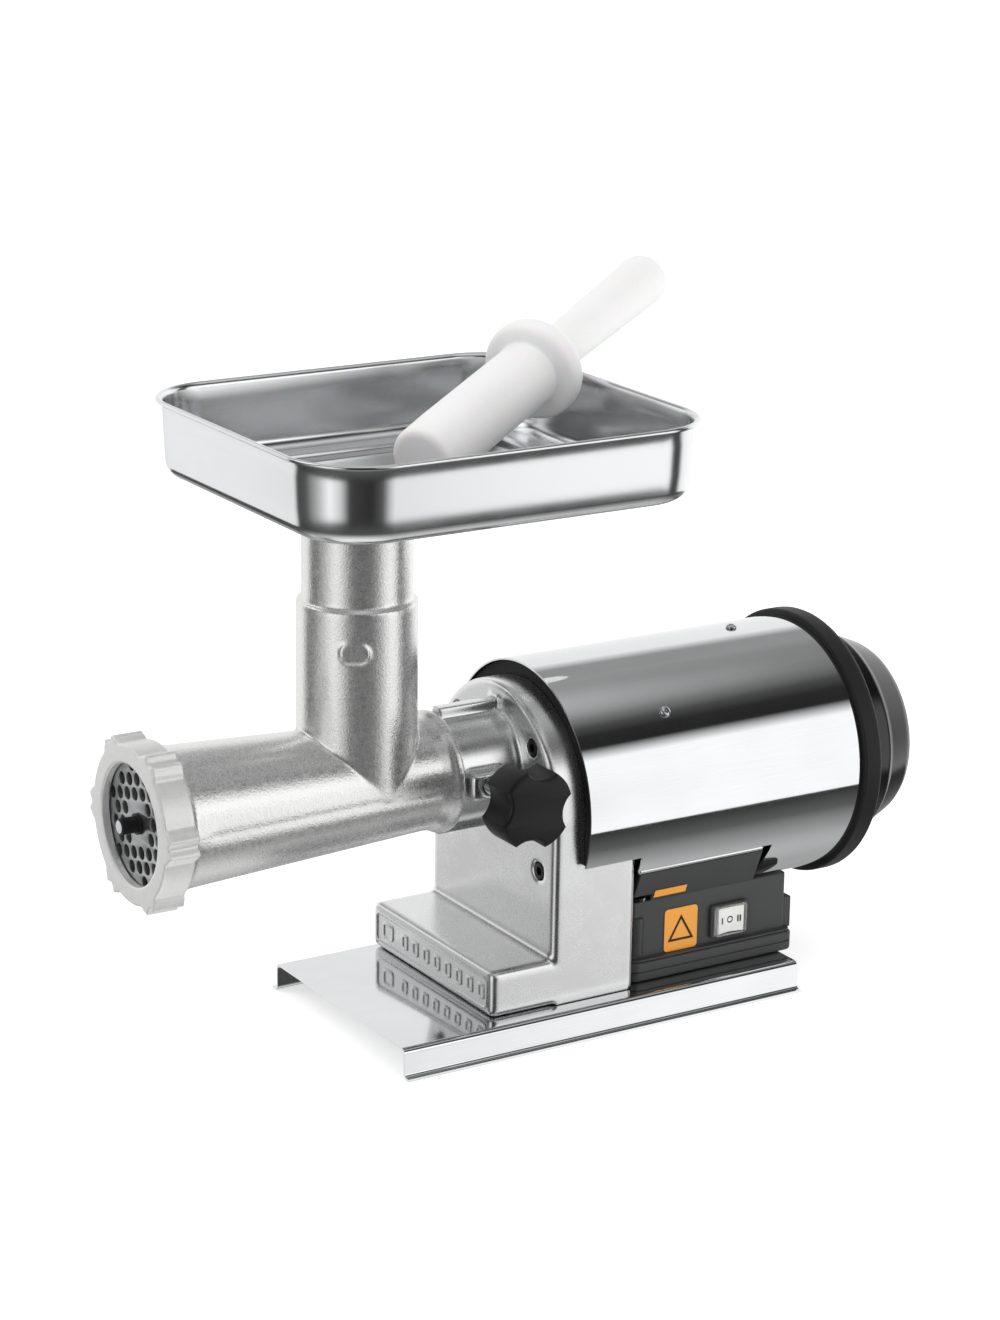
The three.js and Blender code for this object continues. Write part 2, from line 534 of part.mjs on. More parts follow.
function switchBox() {
  const { half, base, front, rear, split, top, wall, clear } = BOX;
  const low = BASE.top + GAP;
  const middle = (front + rear) / 2;
  const halfY = (rear - front) / 2;
  const tub = slab("z", roundedRectangle(0, middle, base, halfY, 6), low, split, 0, 3);
  const pocket = slab("z", roundedRectangle(0, middle, base - 7, halfY - 7, 4), low + wall, split + 1, 0, 3);
  node("switch_box_base", cut(tub, pocket), GREY_PLASTIC);

  const lidY = { from: front + 2, to: rear - 4 };
  const lidMiddle = (lidY.from + lidY.to) / 2;
  const lidHalf = (lidY.to - lidY.from) / 2;
  const hood = slab("z", roundedRectangle(0, lidMiddle, half, lidHalf, 3), split + GAP, top, 0, 2);
  const rim = roundedRectangle(0, middle, base - 1, halfY - 1, 6);
  const ledge = slab("z", rim, split + GAP, split + 1.6, 0, 3);
  const saddle = rod("y", clear, front - 20, rear + 20, 0, MOTOR_Z, LARGE);
  const room = cut(
    block(wall - half, half - wall, lidY.from + wall, lidY.to - wall, 0, top - wall),
    rod("y", clear + wall, front - 20, rear + 20, 0, MOTOR_Z, LARGE));
  const clip = block(half - 14, half - 2, lidY.to - 1, lidY.to + 6, split + GAP, 53);
  const cutout = block(half - 5, half + 2, SWITCH.y - 12, SWITCH.y + 12, SWITCH.z - 10, SWITCH.z + 10);
  const screwHole = rod("z", 1.9, 50, top + 1, half - 2.9, front + 10, 8);
  const post = rod("z", 4.2, split + GAP, top - 1, half - 2.9, front + 10, TINY);
  const lips = [-1, 1].map((side) => cut(
    leaning(side, LIP.low, LIP.rise, -LIP.sheet, 0, lidY.from, LIP.rear),
    block(0, LIP_NOTCH.x, front, LIP_NOTCH.y, top, LIP_NOTCH.z)));
  const lid = join(cut(join(hood, ledge, clip), saddle, room), cut(post, saddle), ...lips);
  node("switch_box_lid", cut(lid, cutout, screwHole), GREY_PLASTIC);
  const screw = join(
    rod("z", 3.2, top + 0.2, top + 2.2, half - 2.9, front + 10, TINY),
    rod("z", 1.6, top - 10, top + 1, half - 2.9, front + 10, 6));
  node("lid_screw", screw, STEEL);

  const sticker = block(half + GAP, half + GAP + LABEL.thick, LABEL.y0, LABEL.y1, LABEL.z0, LABEL.z1);
  node("box_label", sticker, ORANGE_LABEL);
  const { from, to, low: foot, high, thick } = SADDLE_LABEL;
  node("lip_label", leaning(1, foot, high, GAP, GAP + thick, from, to), ORANGE_LABEL);
  const { y, z, halfY: outY, halfZ: outZ, openY, openZ, out } = SWITCH;
  const plate = block(half + GAP, half + out, y - outY, y + outY, z - outZ, z + outZ);
  const well = block(half - 12, half + 1, y - 11.7, y + 11.7, z - 9.7, z + 9.7);
  const mouth = block(half - 10.5, half + 9, y - openY, y + openY, z - openZ, z + openZ);
  node("switch_bezel", cut(join(plate, well), mouth), BLACK_PLASTIC);

  const pad = new THREE.Shape();
  pad.moveTo(half - 5, y - 8.5);
  pad.lineTo(half + 1.5, y - 9.6);
  pad.lineTo(half + 4.6, y - 9.4);
  pad.quadraticCurveTo(half + 2, y, half + 4.6, y + 9.4);
  pad.lineTo(half + 1.5, y + 9.6);
  pad.lineTo(half - 5, y + 8.5);
  node("rocker_switch", slab("z", pad, z - 8.7, z + 8.7, 0, 6), WHITE_PLASTIC);

  node("capacitor", rod("y", 13, 70, 130, -30, 36), STEEL);
  node("terminal_block", block(5, 35, 80, 120, 22, 36), WHITE_PLASTIC);
}

// ---- Grinding head -----------------------------------------------------------------------------
function grindingHead() {
  const { front, frontR, rear, rearR, flangeR, spigotR } = BARREL;
  const outside = turned("y", [
    [0, front], [frontR + 1.3, front], [frontR + 1.3, RING.rear - 2], [frontR, RING.rear + 2],
    [rearR, rear - 14], [rearR + 1, rear - 7], [flangeR, rear - 4], [flangeR, rear],
    [spigotR, rear], [spigotR, -14], [0, -14],
  ], 0, WORM_Z);
  const neck = turned("z", [
    [0, WORM_Z], [THROAT.r, WORM_Z], [THROAT.r, THROAT.step - 1], [THROAT.neckR, THROAT.step + 1.5],
    [THROAT.neckR, THROAT.top], [0, THROAT.top],
  ], 0, THROAT.y);
  const bore = turned("y", [
    [0, front - 1], [PLATE.r + GAP, front - 1], [PLATE.r + GAP, KNIFE.rear + 1.5],
    [WORM.frontR + 2.5, KNIFE.rear + 1.5], [WORM.rearR + 2.5, -57], [DRIVE.journal + 0.5, -57],
    [DRIVE.journal + 0.5, -10], [0, -10],
  ], 0, WORM_Z);
  const feed = rod("z", THROAT.bore, WORM_Z, THROAT.top + 1, 0, THROAT.y, MEDIUM);
  const keyway = rod("y", 2.3, front - 1, PLATE.rear + 1, 0, WORM_Z - PLATE.r, 8);
  return cut(join(outside, neck), bore, feed, keyway);
}

function ringNut() {
  const { front, rear, opening, r, lugR, thread, lugs } = RING;
  const bumps = [[-10, 0], [-7, 0.8], [-4, 1], [0, 0.5], [4, 1], [7, 0.8], [10, 0]];
  const points = [];
  for (let i = 0; i < lugs; i += 1) {
    const lug = bumps.map(([turn, share]) => [turn, r + share * (lugR - r)]);
    const plain = [20, 30, 40].map((turn) => [turn, r]);
    for (const [turn, radius] of [...lug, ...plain]) {
      const angle = THREE.MathUtils.degToRad((360 / lugs) * i + turn);
      points.push(new THREE.Vector2(radius * Math.cos(angle), radius * Math.sin(angle) + WORM_Z));
    }
  }
  const body = slab("y", new THREE.Shape(points), front, rear);
  return cut(body,
    rod("y", opening, front - 1, rear + 1, 0, WORM_Z, LARGE),
    rod("y", thread, PLATE.front - GAP, rear + 1, 0, WORM_Z, LARGE));
}

function cuttingPlate() {
  const disc = rod("y", PLATE.r, PLATE.front, PLATE.rear, 0, WORM_Z, MEDIUM);
  const { pitch, turn, from, to } = PLATE_HOLES;
  const holes = [];
  for (let row = -4; row <= 4; row += 1) {
    for (let column = -6; column <= 6; column += 1) {
      const u = pitch * (column + row / 2);
      const v = pitch * row * Math.sqrt(0.75);
      const r = Math.hypot(u, v);
      if (r < from || r > to) continue;
      const angle = Math.atan2(v, u) + THREE.MathUtils.degToRad(turn);
      const x = r * Math.cos(angle);
      const z = WORM_Z + r * Math.sin(angle);
      holes.push(rod("y", PLATE.hole, PLATE.front - 1, PLATE.rear + 1, x, z, 6));
    }
  }
  return cut(disc, ...holes,
    rod("y", PLATE.hub, PLATE.front - 1, PLATE.rear + 1, 0, WORM_Z, 16),
    rod("y", 2.4, PLATE.front - 1, PLATE.rear + 1, 0, WORM_Z - PLATE.r, 8));
}

function knife() {
  const blade = block(8, KNIFE.r, KNIFE.front, KNIFE.rear, -5, 3);
  const arms = [0, 90, 180, 270].map((turn) => blade.rotate([0, turn, 0]).translate([0, 0, WORM_Z]));
  const hub = rod("y", 13, KNIFE.front, KNIFE.rear, 0, WORM_Z, 16);
  const half = STUD.square + GAP;
  const seat = block(-half, half, KNIFE.front - 1, KNIFE.rear + 1, WORM_Z - half, WORM_Z + half);
  return cut(join(hub, ...arms), seat);
}

function worm() {
  const { front, rear, frontR, rearR, core, turns, steps } = WORM;
  const length = rear - front;
  const flight = Math.PI / 5;
  const section = polarShape(12, (angle) => (Math.min(angle, 2 * Math.PI - angle) < flight ? 1 : core));
  const geometry = new THREE.ExtrudeGeometry(section, { depth: length, steps, bevelEnabled: false });
  const place = geometry.attributes.position;
  const point = new THREE.Vector3();
  const axis = new THREE.Vector3(0, 0, 1);
  for (let i = 0; i < place.count; i += 1) {
    point.fromBufferAttribute(place, i);
    const share = point.z / length;
    const scale = THREE.MathUtils.lerp(rearR, frontR, share);
    point.set(point.x * scale, point.y * scale, point.z).applyAxisAngle(axis, -share * turns * 2 * Math.PI);
    place.setXYZ(i, point.x, point.y, point.z);
  }
  geometry.applyMatrix4(RISE.y);
  geometry.translate(0, rear, WORM_Z);
  const { journal, half, from, to } = DRIVE;
  return cut(
    join(solid(geometry),
      rod("y", journal, rear - 2, from, 0, WORM_Z),
      block(-half, half, from - 1, to, WORM_Z - half, WORM_Z + half)),
    rod("y", STUD.r + 2 * GAP, front - 1, front + 18, 0, WORM_Z, 12));
}

function wormStud() {
  const square = block(-STUD.square, STUD.square, KNIFE.front, WORM.front - GAP,
    WORM_Z - STUD.square, WORM_Z + STUD.square);
  return join(rod("y", STUD.r, STUD.tip, WORM.front + 16, 0, WORM_Z, 16), square);
}

// ---- Tray and pusher ---------------------------------------------------------------------------
/** Tray form with a rounded bottom edge, its walls leaning out by the draft. */
function trayForm(inset, bottom, top) {
  const middle = (TRAY.front + TRAY.rear) / 2;
  const halfX = TRAY.half - TRAY.lipOut - inset;
  const halfY = (TRAY.rear - TRAY.front) / 2 - TRAY.lipOut - inset;
  const edge = TRAY_FORM.edge - inset;
  const shape = roundedRectangle(0, 0, halfX, halfY, TRAY_FORM.corner - inset);
  const geometry = new THREE.ExtrudeGeometry(shape, {
    depth: top - bottom, curveSegments: 3, bevelEnabled: true,
    bevelThickness: edge, bevelSize: edge, bevelOffset: -edge, bevelSegments: 3,
  });
  geometry.translate(0, 0, bottom + edge);
  const place = geometry.attributes.position;
  for (let i = 0; i < place.count; i += 1) {
    const lean = ((TRAY.lip - place.getZ(i)) / (TRAY.lip - TRAY.bottom)) * TRAY_FORM.draft;
    place.setX(i, place.getX(i) * (1 - lean / halfX));
    place.setY(i, place.getY(i) * (1 - lean / halfY) + middle);
  }
  return solid(geometry);
}

function feedTray() {
  const { half, front, rear, bottom, lip, lipOut, sheet } = TRAY;
  const above = block(-200, 200, -300, 200, lip, lip + 200);
  const tub = cut(trayForm(0, bottom, lip + 20), trayForm(sheet, bottom + sheet, lip + 40), above);
  const middle = (front + rear) / 2;
  const halfY = (rear - front) / 2;
  const brim = roundedRectangle(0, middle, half, halfY, TRAY_FORM.corner + lipOut);
  brim.holes.push(roundedRectangle(0, middle, half - lipOut - 0.6, halfY - lipOut - 0.6, TRAY_FORM.corner));
  const lipRing = slab("z", brim, lip - 2.2, lip, 0, 3);
  const collar = ring("z", THROAT.bore - 2, THROAT.bore - 0.6, 326, bottom + sheet, 0, THROAT.y, MEDIUM);
  const hole = rod("z", THROAT.bore - 2, bottom - 30, bottom + 10, 0, THROAT.y, MEDIUM);
  return cut(join(tub, lipRing, collar), hole);
}

function pusher() {
  const { rammer, length, flange, thick, grip, gripEnd, grab } = PUSHER;
  const profile = [
    [0, -length], [rammer - 3, -length], [rammer, -length + 3], [rammer, -thick / 2],
    [flange - 4, -thick / 2], [flange, -thick / 4], [flange, thick / 4], [flange - 4, thick / 2],
    [grip, thick / 2 + 2], [gripEnd, grab - 8], [gripEnd - 6, grab], [0, grab],
  ];
  const points = profile.map(([r, along]) => new THREE.Vector2(r, along));
  const geometry = new THREE.LatheGeometry(points, SMALL);
  const { x, y, z, azimuth, elevation } = PUSHER_POSE;
  geometry.applyMatrix4(new THREE.Matrix4().makeRotationX(THREE.MathUtils.degToRad(elevation)));
  geometry.applyMatrix4(new THREE.Matrix4().makeRotationZ(THREE.MathUtils.degToRad(-azimuth)));
  geometry.translate(x, y, z);
  return solid(geometry);
}

// ---- Assembly ----------------------------------------------------------------------------------
node("base_plate", basePlate(), STAINLESS);
baseBolts();
node("gear_case", gearCase(), CAST_ALUMINIUM);
CASE_BOLTS.forEach(([x, z], i) => {
  node(`case_bolt_${i + 1}`, capScrew(x, z, CASE.front + 0.5, 5.2, 5, 2.9, 64), DARK_STEEL);
});
clampScrewAndKnob();
gearTrain();
motor();
node("motor_cover", motorCover(), STAINLESS);
node("cover_trim_band", coverTrim(), RUBBER);
coverScrews();
node("rear_ring", rearRing(), BLACK_PLASTIC);
node("fan_cowl", fanCowl(), GLOSS_BLACK);
switchBox();
node("grinding_head", grindingHead(), TINNED_IRON);
node("ring_nut", ringNut(), TINNED_IRON);
node("cutting_plate", cuttingPlate(), STEEL);
node("plate_key", rod("y", 2, BARREL.front + 0.3, PLATE.rear + 0.7, 0, WORM_Z - PLATE.r, 8), STEEL);
node("knife", knife(), STEEL);
node("worm", worm(), TINNED_IRON);
node("worm_stud", wormStud(), DARK_STEEL);
node("thrust_washer", ring("y", DRIVE.journal + 2 * GAP, 24, -59.6, -57.4, 0, WORM_Z, SMALL), STEEL);
node("feed_tray", feedTray(), STAINLESS);
node("pusher", pusher(), WHITE_PLASTIC);

model.position.set(0, ORIGIN_Y, 0);
export default model;
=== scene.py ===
"""Electric meat grinder: the detailed pieces, finishes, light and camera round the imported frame.

Sizes are in millimetres in the maker's own coordinates: the grinding head points along -Y, the clamp
knob is on the +X side, and the worm and the motor each have an axis along Y.
"""
import sys
import logging
import math
from collections.abc import Callable, Iterable, Sequence
from dataclasses import dataclass
from enum import Enum

import bmesh
import bpy
from mathutils import Matrix, Vector


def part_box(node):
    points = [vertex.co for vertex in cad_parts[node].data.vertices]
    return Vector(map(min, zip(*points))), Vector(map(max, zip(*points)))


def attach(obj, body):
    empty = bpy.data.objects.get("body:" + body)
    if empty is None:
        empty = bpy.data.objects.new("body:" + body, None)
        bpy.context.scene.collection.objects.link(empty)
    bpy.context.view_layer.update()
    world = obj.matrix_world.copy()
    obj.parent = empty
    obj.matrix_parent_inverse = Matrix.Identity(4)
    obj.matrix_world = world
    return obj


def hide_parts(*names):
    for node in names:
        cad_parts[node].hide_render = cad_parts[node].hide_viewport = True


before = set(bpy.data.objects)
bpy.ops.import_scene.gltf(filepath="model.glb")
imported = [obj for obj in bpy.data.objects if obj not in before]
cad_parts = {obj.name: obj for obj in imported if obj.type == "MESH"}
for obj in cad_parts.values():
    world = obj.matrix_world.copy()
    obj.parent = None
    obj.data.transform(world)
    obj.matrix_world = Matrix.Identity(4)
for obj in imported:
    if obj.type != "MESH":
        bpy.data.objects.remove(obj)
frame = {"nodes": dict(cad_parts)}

LOG = logging.getLogger("grinder")
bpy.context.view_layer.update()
MM = 0.001
CASE_REAR = 57.0
ORIGIN_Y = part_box("gear_case")[1].y / MM - CASE_REAR
FULL = 2 * math.pi

Point = tuple[float, float, float]
Flat = tuple[float, float]


def middle(node: str) -> Vector:
    """Centre of a node of the frame, in the maker's millimetres."""
    low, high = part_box(node)
    return (low + high) / (2 * MM) - Vector((0, ORIGIN_Y, 0))


WORM_Z = middle("cutting_plate").z
MOTOR_Z = middle("rear_ring").z


# ---- Shaping ------------------------------------------------------------------------------------
class Axis(Enum):
    """Direction that a turned or extruded form runs along."""

    X = "x"
    Y = "y"
    Z = "z"

    def place(self, along: float, p: float, q: float) -> Point:
        """Point at a distance along the axis and (p, q) across it."""
        if self is Axis.X:
            return along, p, q
        return (p, along, q) if self is Axis.Y else (p, q, along)


def arc(p: float, q: float, radius: float, start: float, end: float, steps: int = 8) -> list[Flat]:
    """Points on an arc.

    Args:
        p, q: Centre.
        radius: Radius of the arc.
        start, end: Angles in degrees.
        steps: Number of chords.

    Returns:
        Points from the first angle to the last.
    """
    turns = [math.radians(start + (end - start) * i / steps) for i in range(steps + 1)]
    return [(p + radius * math.cos(t), q + radius * math.sin(t)) for t in turns]


def circle(p: float, q: float, radius: float, steps: int = 64) -> list[Flat]:
    """Closed outline of a circle."""
    return arc(p, q, radius, 0, 360, steps)[:-1]


def round_rectangle(p: float, q: float, half_p: float, half_q: float, radius: float,
                    steps: int = 8) -> list[Flat]:
    """Closed outline of a rectangle with round corners.

    Args:
        p, q: Centre.
        half_p, half_q: Half of each side.
        radius: Corner radius.
        steps: Chords in each corner.

    Returns:
        Points, anticlockwise.
    """
    corners = ((1, -1, -90), (1, 1, 0), (-1, 1, 90), (-1, -1, 180))
    outline: list[Flat] = []
    for side_p, side_q, start in corners:
        centre = (p + side_p * (half_p - radius), q + side_q * (half_q - radius))
        outline += arc(*centre, radius, start, start + 90, steps)
    return outline


def arch(half: float, centre_q: float, foot: float, steps: int = 72) -> list[Flat]:
    """Round-topped outline standing on a flat foot."""
    return [(-half, foot), (half, foot), *arc(0, centre_q, half, 0, 180, steps)]


def rounded(profile: Sequence[tuple[float, ...]], steps: int = 5) -> list[Flat]:
    """Open profile whose corners are rounded where a third number gives a radius.

    Args:
        profile: Points (radius, along) or (radius, along, corner radius).
        steps: Chords in each rounded corner.

    Returns:
        Points of the profile with its corners turned into arcs.
    """
    result: list[Flat] = []
    for i, (r, along, *corner) in enumerate(profile):
        here = Vector((r, along))
        if not corner or i in (0, len(profile) - 1):
            result.append((r, along))
            continue
        before = (Vector(profile[i - 1][:2]) - here).normalized()
        after = (Vector(profile[i + 1][:2]) - here).normalized()
        start, end = here + before * corner[0], here + after * corner[0]
        for step in range(steps + 1):
            t = step / steps
            spot = start * (1 - t) ** 2 + here * 2 * t * (1 - t) + end * t ** 2
            result.append((spot.x, spot.y))
    return result


class Form:
    """A mesh being shaped, in the maker's millimetres until it becomes a piece."""

    def __init__(self, points: Sequence[Point], faces: Sequence[Sequence[int]]) -> None:
        """Makes a mesh from points and faces and welds what coincides."""
        mesh = bpy.data.meshes.new("form")
        mesh.from_pydata(list(points), [], [list(f) for f in faces])
        self.obj = bpy.data.objects.new("form", mesh)
        bpy.context.scene.collection.objects.link(self.obj)
        self._weld()

    def _weld(self) -> None:
        """Joins coincident points and turns all faces outwards."""
        shape = bmesh.new()
        shape.from_mesh(self.obj.data)
        bmesh.ops.remove_doubles(shape, verts=shape.verts, dist=1e-4)
        bmesh.ops.recalc_face_normals(shape, faces=shape.faces)
        shape.to_mesh(self.obj.data)
        shape.free()

    def _apply(self) -> None:
        """Turns the modifiers into the mesh itself."""
        graph = bpy.context.evaluated_depsgraph_get()
        mesh = bpy.data.meshes.new_from_object(self.obj.evaluated_get(graph))
        self.obj.modifiers.clear()
        self.obj.data = mesh

    def _combine(self, tools: Iterable["Form"], operation: str) -> "Form":
        """Applies one exact boolean for each tool and removes the tools.

        Args:
            tools: forms to join on or to cut away.
            operation: name of the boolean.

        Returns:
            This form.
        """
        tools = list(tools)
        for tool in tools:
            modifier = self.obj.modifiers.new("boolean", "BOOLEAN")
            modifier.operation, modifier.solver, modifier.object = operation, "EXACT", tool.obj
        self._apply()
        for tool in tools:
            bpy.data.objects.remove(tool.obj)
        return self

    def join(self, *tools: "Form") -> "Form":
        """This form with others added to it."""
        return self._combine(tools, "UNION")

    def cut(self, *tools: "Form") -> "Form":
        """This form with others taken out of it."""
        return self._combine(tools, "DIFFERENCE")

    def cast(self, voxel: float, smooth: int) -> "Form":
        """Even skin with softened edges, as a casting has.

        Args:
            voxel: Size of the new faces.
            smooth: Rounds of smoothing.

        Returns:
            This form.
        """
        skin = self.obj.modifiers.new("skin", "REMESH")
        skin.mode, skin.voxel_size, skin.use_smooth_shade = "VOXEL", voxel, True
        soften = self.obj.modifiers.new("soften", "SMOOTH")
        soften.factor, soften.iterations = 0.5, smooth
        self._apply()
        return self

    def thicken(self, sheet: float) -> "Form":
        """Gives an open surface the thickness of its sheet, inwards.

        Args:
            sheet: thickness in mm.

        Returns:
            This form.
        """
        modifier = self.obj.modifiers.new("sheet", "SOLIDIFY")
        modifier.thickness, modifier.offset, modifier.use_even_offset = sheet, -1, True
        self._apply()
        return self

    def soften(self, width: float, segments: int = 3, angle: float = 40) -> "Form":
        """Rounds the edges that are sharper than an angle.

        Args:
            width: width of the rounding in mm.
            segments: flats across the rounding.
            angle: smallest angle in degrees that is rounded.

        Returns:
            This form.
        """
        modifier = self.obj.modifiers.new("edge", "BEVEL")
        modifier.width, modifier.segments = width, segments
        modifier.limit_method, modifier.angle_limit = "ANGLE", math.radians(angle)
        modifier.use_clamp_overlap = True
        self._apply()
        return self

    def moved(self, matrix: Matrix) -> "Form":
        """This form after a transform."""
        self.obj.data.transform(matrix)
        return self

    def with_form(self, *others: "Form") -> "Form":
        """This form with others carried in the same mesh, not fused.

        Args:
            others: forms to carry, which are used up.

        Returns:
            This form.
        """
        shape = bmesh.new()
        shape.from_mesh(self.obj.data)
        for other in others:
            shape.from_mesh(other.obj.data)
            bpy.data.objects.remove(other.obj)
        shape.to_mesh(self.obj.data)
        shape.free()
        return self

    def piece(self, name: str, finish: "Finish", body: str, slot: str, replaces: Sequence[str] = (),
              sharp: float = 35) -> bpy.types.Object:
        """Turns the form into a finished piece of the object.

        Args:
            name: Name of the piece.
            finish: What it is made of.
            body: Body of the frame that it moves with.
            slot: Name of the piece's material slot; not used.
            replaces: Nodes of the frame that it stands for.
            sharp: Edges sharper than this angle stay crisp in shading.

        Returns:
            The Blender object, in metres in the frame.
        """
        mesh = self.obj.data
        mesh.transform(Matrix.Scale(MM, 4) @ Matrix.Translation((0, ORIGIN_Y, 0)))
        mesh.polygons.foreach_set("use_smooth", [True] * len(mesh.polygons))
        mesh.set_sharp_from_angle(angle=math.radians(sharp))
        mesh.materials.clear()
        mesh.materials.append(finish.material())
        mesh.name = self.obj.name = name
        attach(self.obj, body)
        if replaces:
            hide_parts(*replaces)
        LOG.info("%s: %d faces, %s", name, len(mesh.polygons), finish.name)
        return self.obj


def turned(profile: Sequence[Flat], axis: Axis, p: float = 0, q: float = 0, sides: int = 96,
           reach: Callable[[float, float, float], float] | None = None) -> Form:
    """Form turned round an axis from a closed profile.

    Args:
        profile: Points (radius, along); the last joins the first.
        axis: Axis to turn round.
        p, q: Where the axis stands.
        sides: Steps round it.
        reach: Gives a changed radius from (radius, along, angle), for fluted forms.

    Returns:
        The closed form.
    """
    points, faces = [], []
    for r, along in profile:
        for i in range(sides):
            turn = FULL * i / sides
            size = reach(r, along, turn) if reach and r else r
            points.append(axis.place(along, p + size * math.cos(turn), q + size * math.sin(turn)))
    rings = len(profile)
    for ring in range(rings):
        here, after = ring * sides, (ring + 1) % rings * sides
        for i in range(sides):
            j = (i + 1) % sides
            faces.append((here + i, here + j, after + j, after + i))
    return Form(points, faces)


def rod(axis: Axis, radius: float, start: float, end: float, p: float = 0, q: float = 0,
        sides: int = 48) -> Form:
    """Plain round bar, used as a tool or as a core."""
    return turned([(0, start), (radius, start), (radius, end), (0, end)], axis, p, q, sides)


def block(x0: float, x1: float, y0: float, y1: float, z0: float, z1: float) -> Form:
    """Plain block between two corners, used as a tool or as a core."""
    points = [(x, y, z) for x in (x0, x1) for y in (y0, y1) for z in (z0, z1)]
    return Form(points, [(0, 1, 3, 2), (4, 6, 7, 5), (0, 4, 5, 1), (2, 3, 7, 6), (0, 2, 6, 4), (1, 5, 7, 3)])


def slab(outline: Sequence[Flat], axis: Axis, start: float, end: float, edge: float = 0,
         holes: Sequence[Sequence[Flat]] = (), steps: int = 3) -> Form:
    """Flat outline with holes, drawn out along an axis, with rounded edges.

    Args:
        outline: Closed outline across the axis.
        axis: Axis to draw it along.
        start, end: Where its two faces are.
        edge: Radius of the rounded edges.
        holes: Closed outlines left out.
        steps: Fineness of the rounded edges.

    Returns:
        The closed form.
    """
    curve = bpy.data.curves.new("outline", "CURVE")
    curve.dimensions, curve.fill_mode = "2D", "BOTH"
    curve.extrude, curve.bevel_depth = (end - start) / 2 - edge, edge
    curve.bevel_resolution, curve.offset = steps, -edge
    for loop in (outline, *holes):
        spline = curve.splines.new("POLY")
        spline.points.add(len(loop) - 1)
        for spot, (p, q) in zip(spline.points, loop):
            spot.co = (p, q, 0, 1)
        spline.use_cyclic_u = True
    holder = bpy.data.objects.new("outline", curve)
    bpy.context.scene.collection.objects.link(holder)
    graph = bpy.context.evaluated_depsgraph_get()
    mesh = bpy.data.meshes.new_from_object(holder.evaluated_get(graph))
    bpy.data.objects.remove(holder)
    centre = (start + end) / 2
    points = [axis.place(centre + v.co.z, v.co.x, v.co.y) for v in mesh.vertices]
    return Form(points, [tuple(f.vertices) for f in mesh.polygons])


def loft(loops: Sequence[Sequence[Point]], close_start: bool = False) -> Form:
    """Surface through loops of the same number of points.

    Args:
        loops: Closed loops in order.
        close_start: Whether the first loop is filled.

    Returns:
        The open or half-open form.
    """
    count = len(loops[0])
    points = [spot for loop in loops for spot in loop]
    faces: list[tuple[int, ...]] = [tuple(range(count))] if close_start else []
    for k in range(len(loops) - 1):
        for i in range(count):
            j = (i + 1) % count
            faces.append((k * count + i, k * count + j, (k + 1) * count + j, (k + 1) * count + i))
    return Form(points, faces)


def about_motor(degrees: float, y: float) -> Matrix:
    """Transform that stands a form made round Z on the motor's axis, pointing outwards.

    Args:
        degrees: angle round the motor, from the right upwards.
        y: place along the motor in mm.

    Returns:
        The transform.
    """
    turn = Matrix.Rotation(math.radians(90 - degrees), 4, "Y")
    return Matrix.Translation((0, y, MOTOR_Z)) @ turn


# ---- Finishes -----------------------------------------------------------------------------------
def linear(colour: str) -> tuple[float, float, float, float]:
    """Linear colour from sRGB hex.

    Args:
        colour: sRGB hex with its hash sign.

    Returns:
        Red, green, blue and a full alpha.
    """
    parts = [int(colour[i:i + 2], 16) / 255 for i in (1, 3, 5)]
    red, green, blue = (c / 12.92 if c <= 0.04045 else ((c + 0.055) / 1.055) ** 2.4 for c in parts)
    return red, green, blue, 1.0


def add_node(tree: bpy.types.NodeTree, kind: str, inputs: dict | None = None,
             **settings: object) -> bpy.types.Node:
    """Adds a node with its settings and links.

    Args:
        tree: Node tree that gets the node.
        kind: Type of the node.
        inputs: Value or output socket for each input, by name or number.
        settings: Attributes of the node.

    Returns:
        The node.
    """
    node = tree.nodes.new(kind)
    for key, value in settings.items():
        setattr(node, key, value)
    for key, value in (inputs or {}).items():
        if isinstance(value, bpy.types.NodeSocket):
            tree.links.new(value, node.inputs[key])
        else:
            node.inputs[key].default_value = value
    return node


class Grain(Enum):
    """How a surface's small pattern was made."""

    FINE = "noise"
    CRYSTAL = "voronoi"


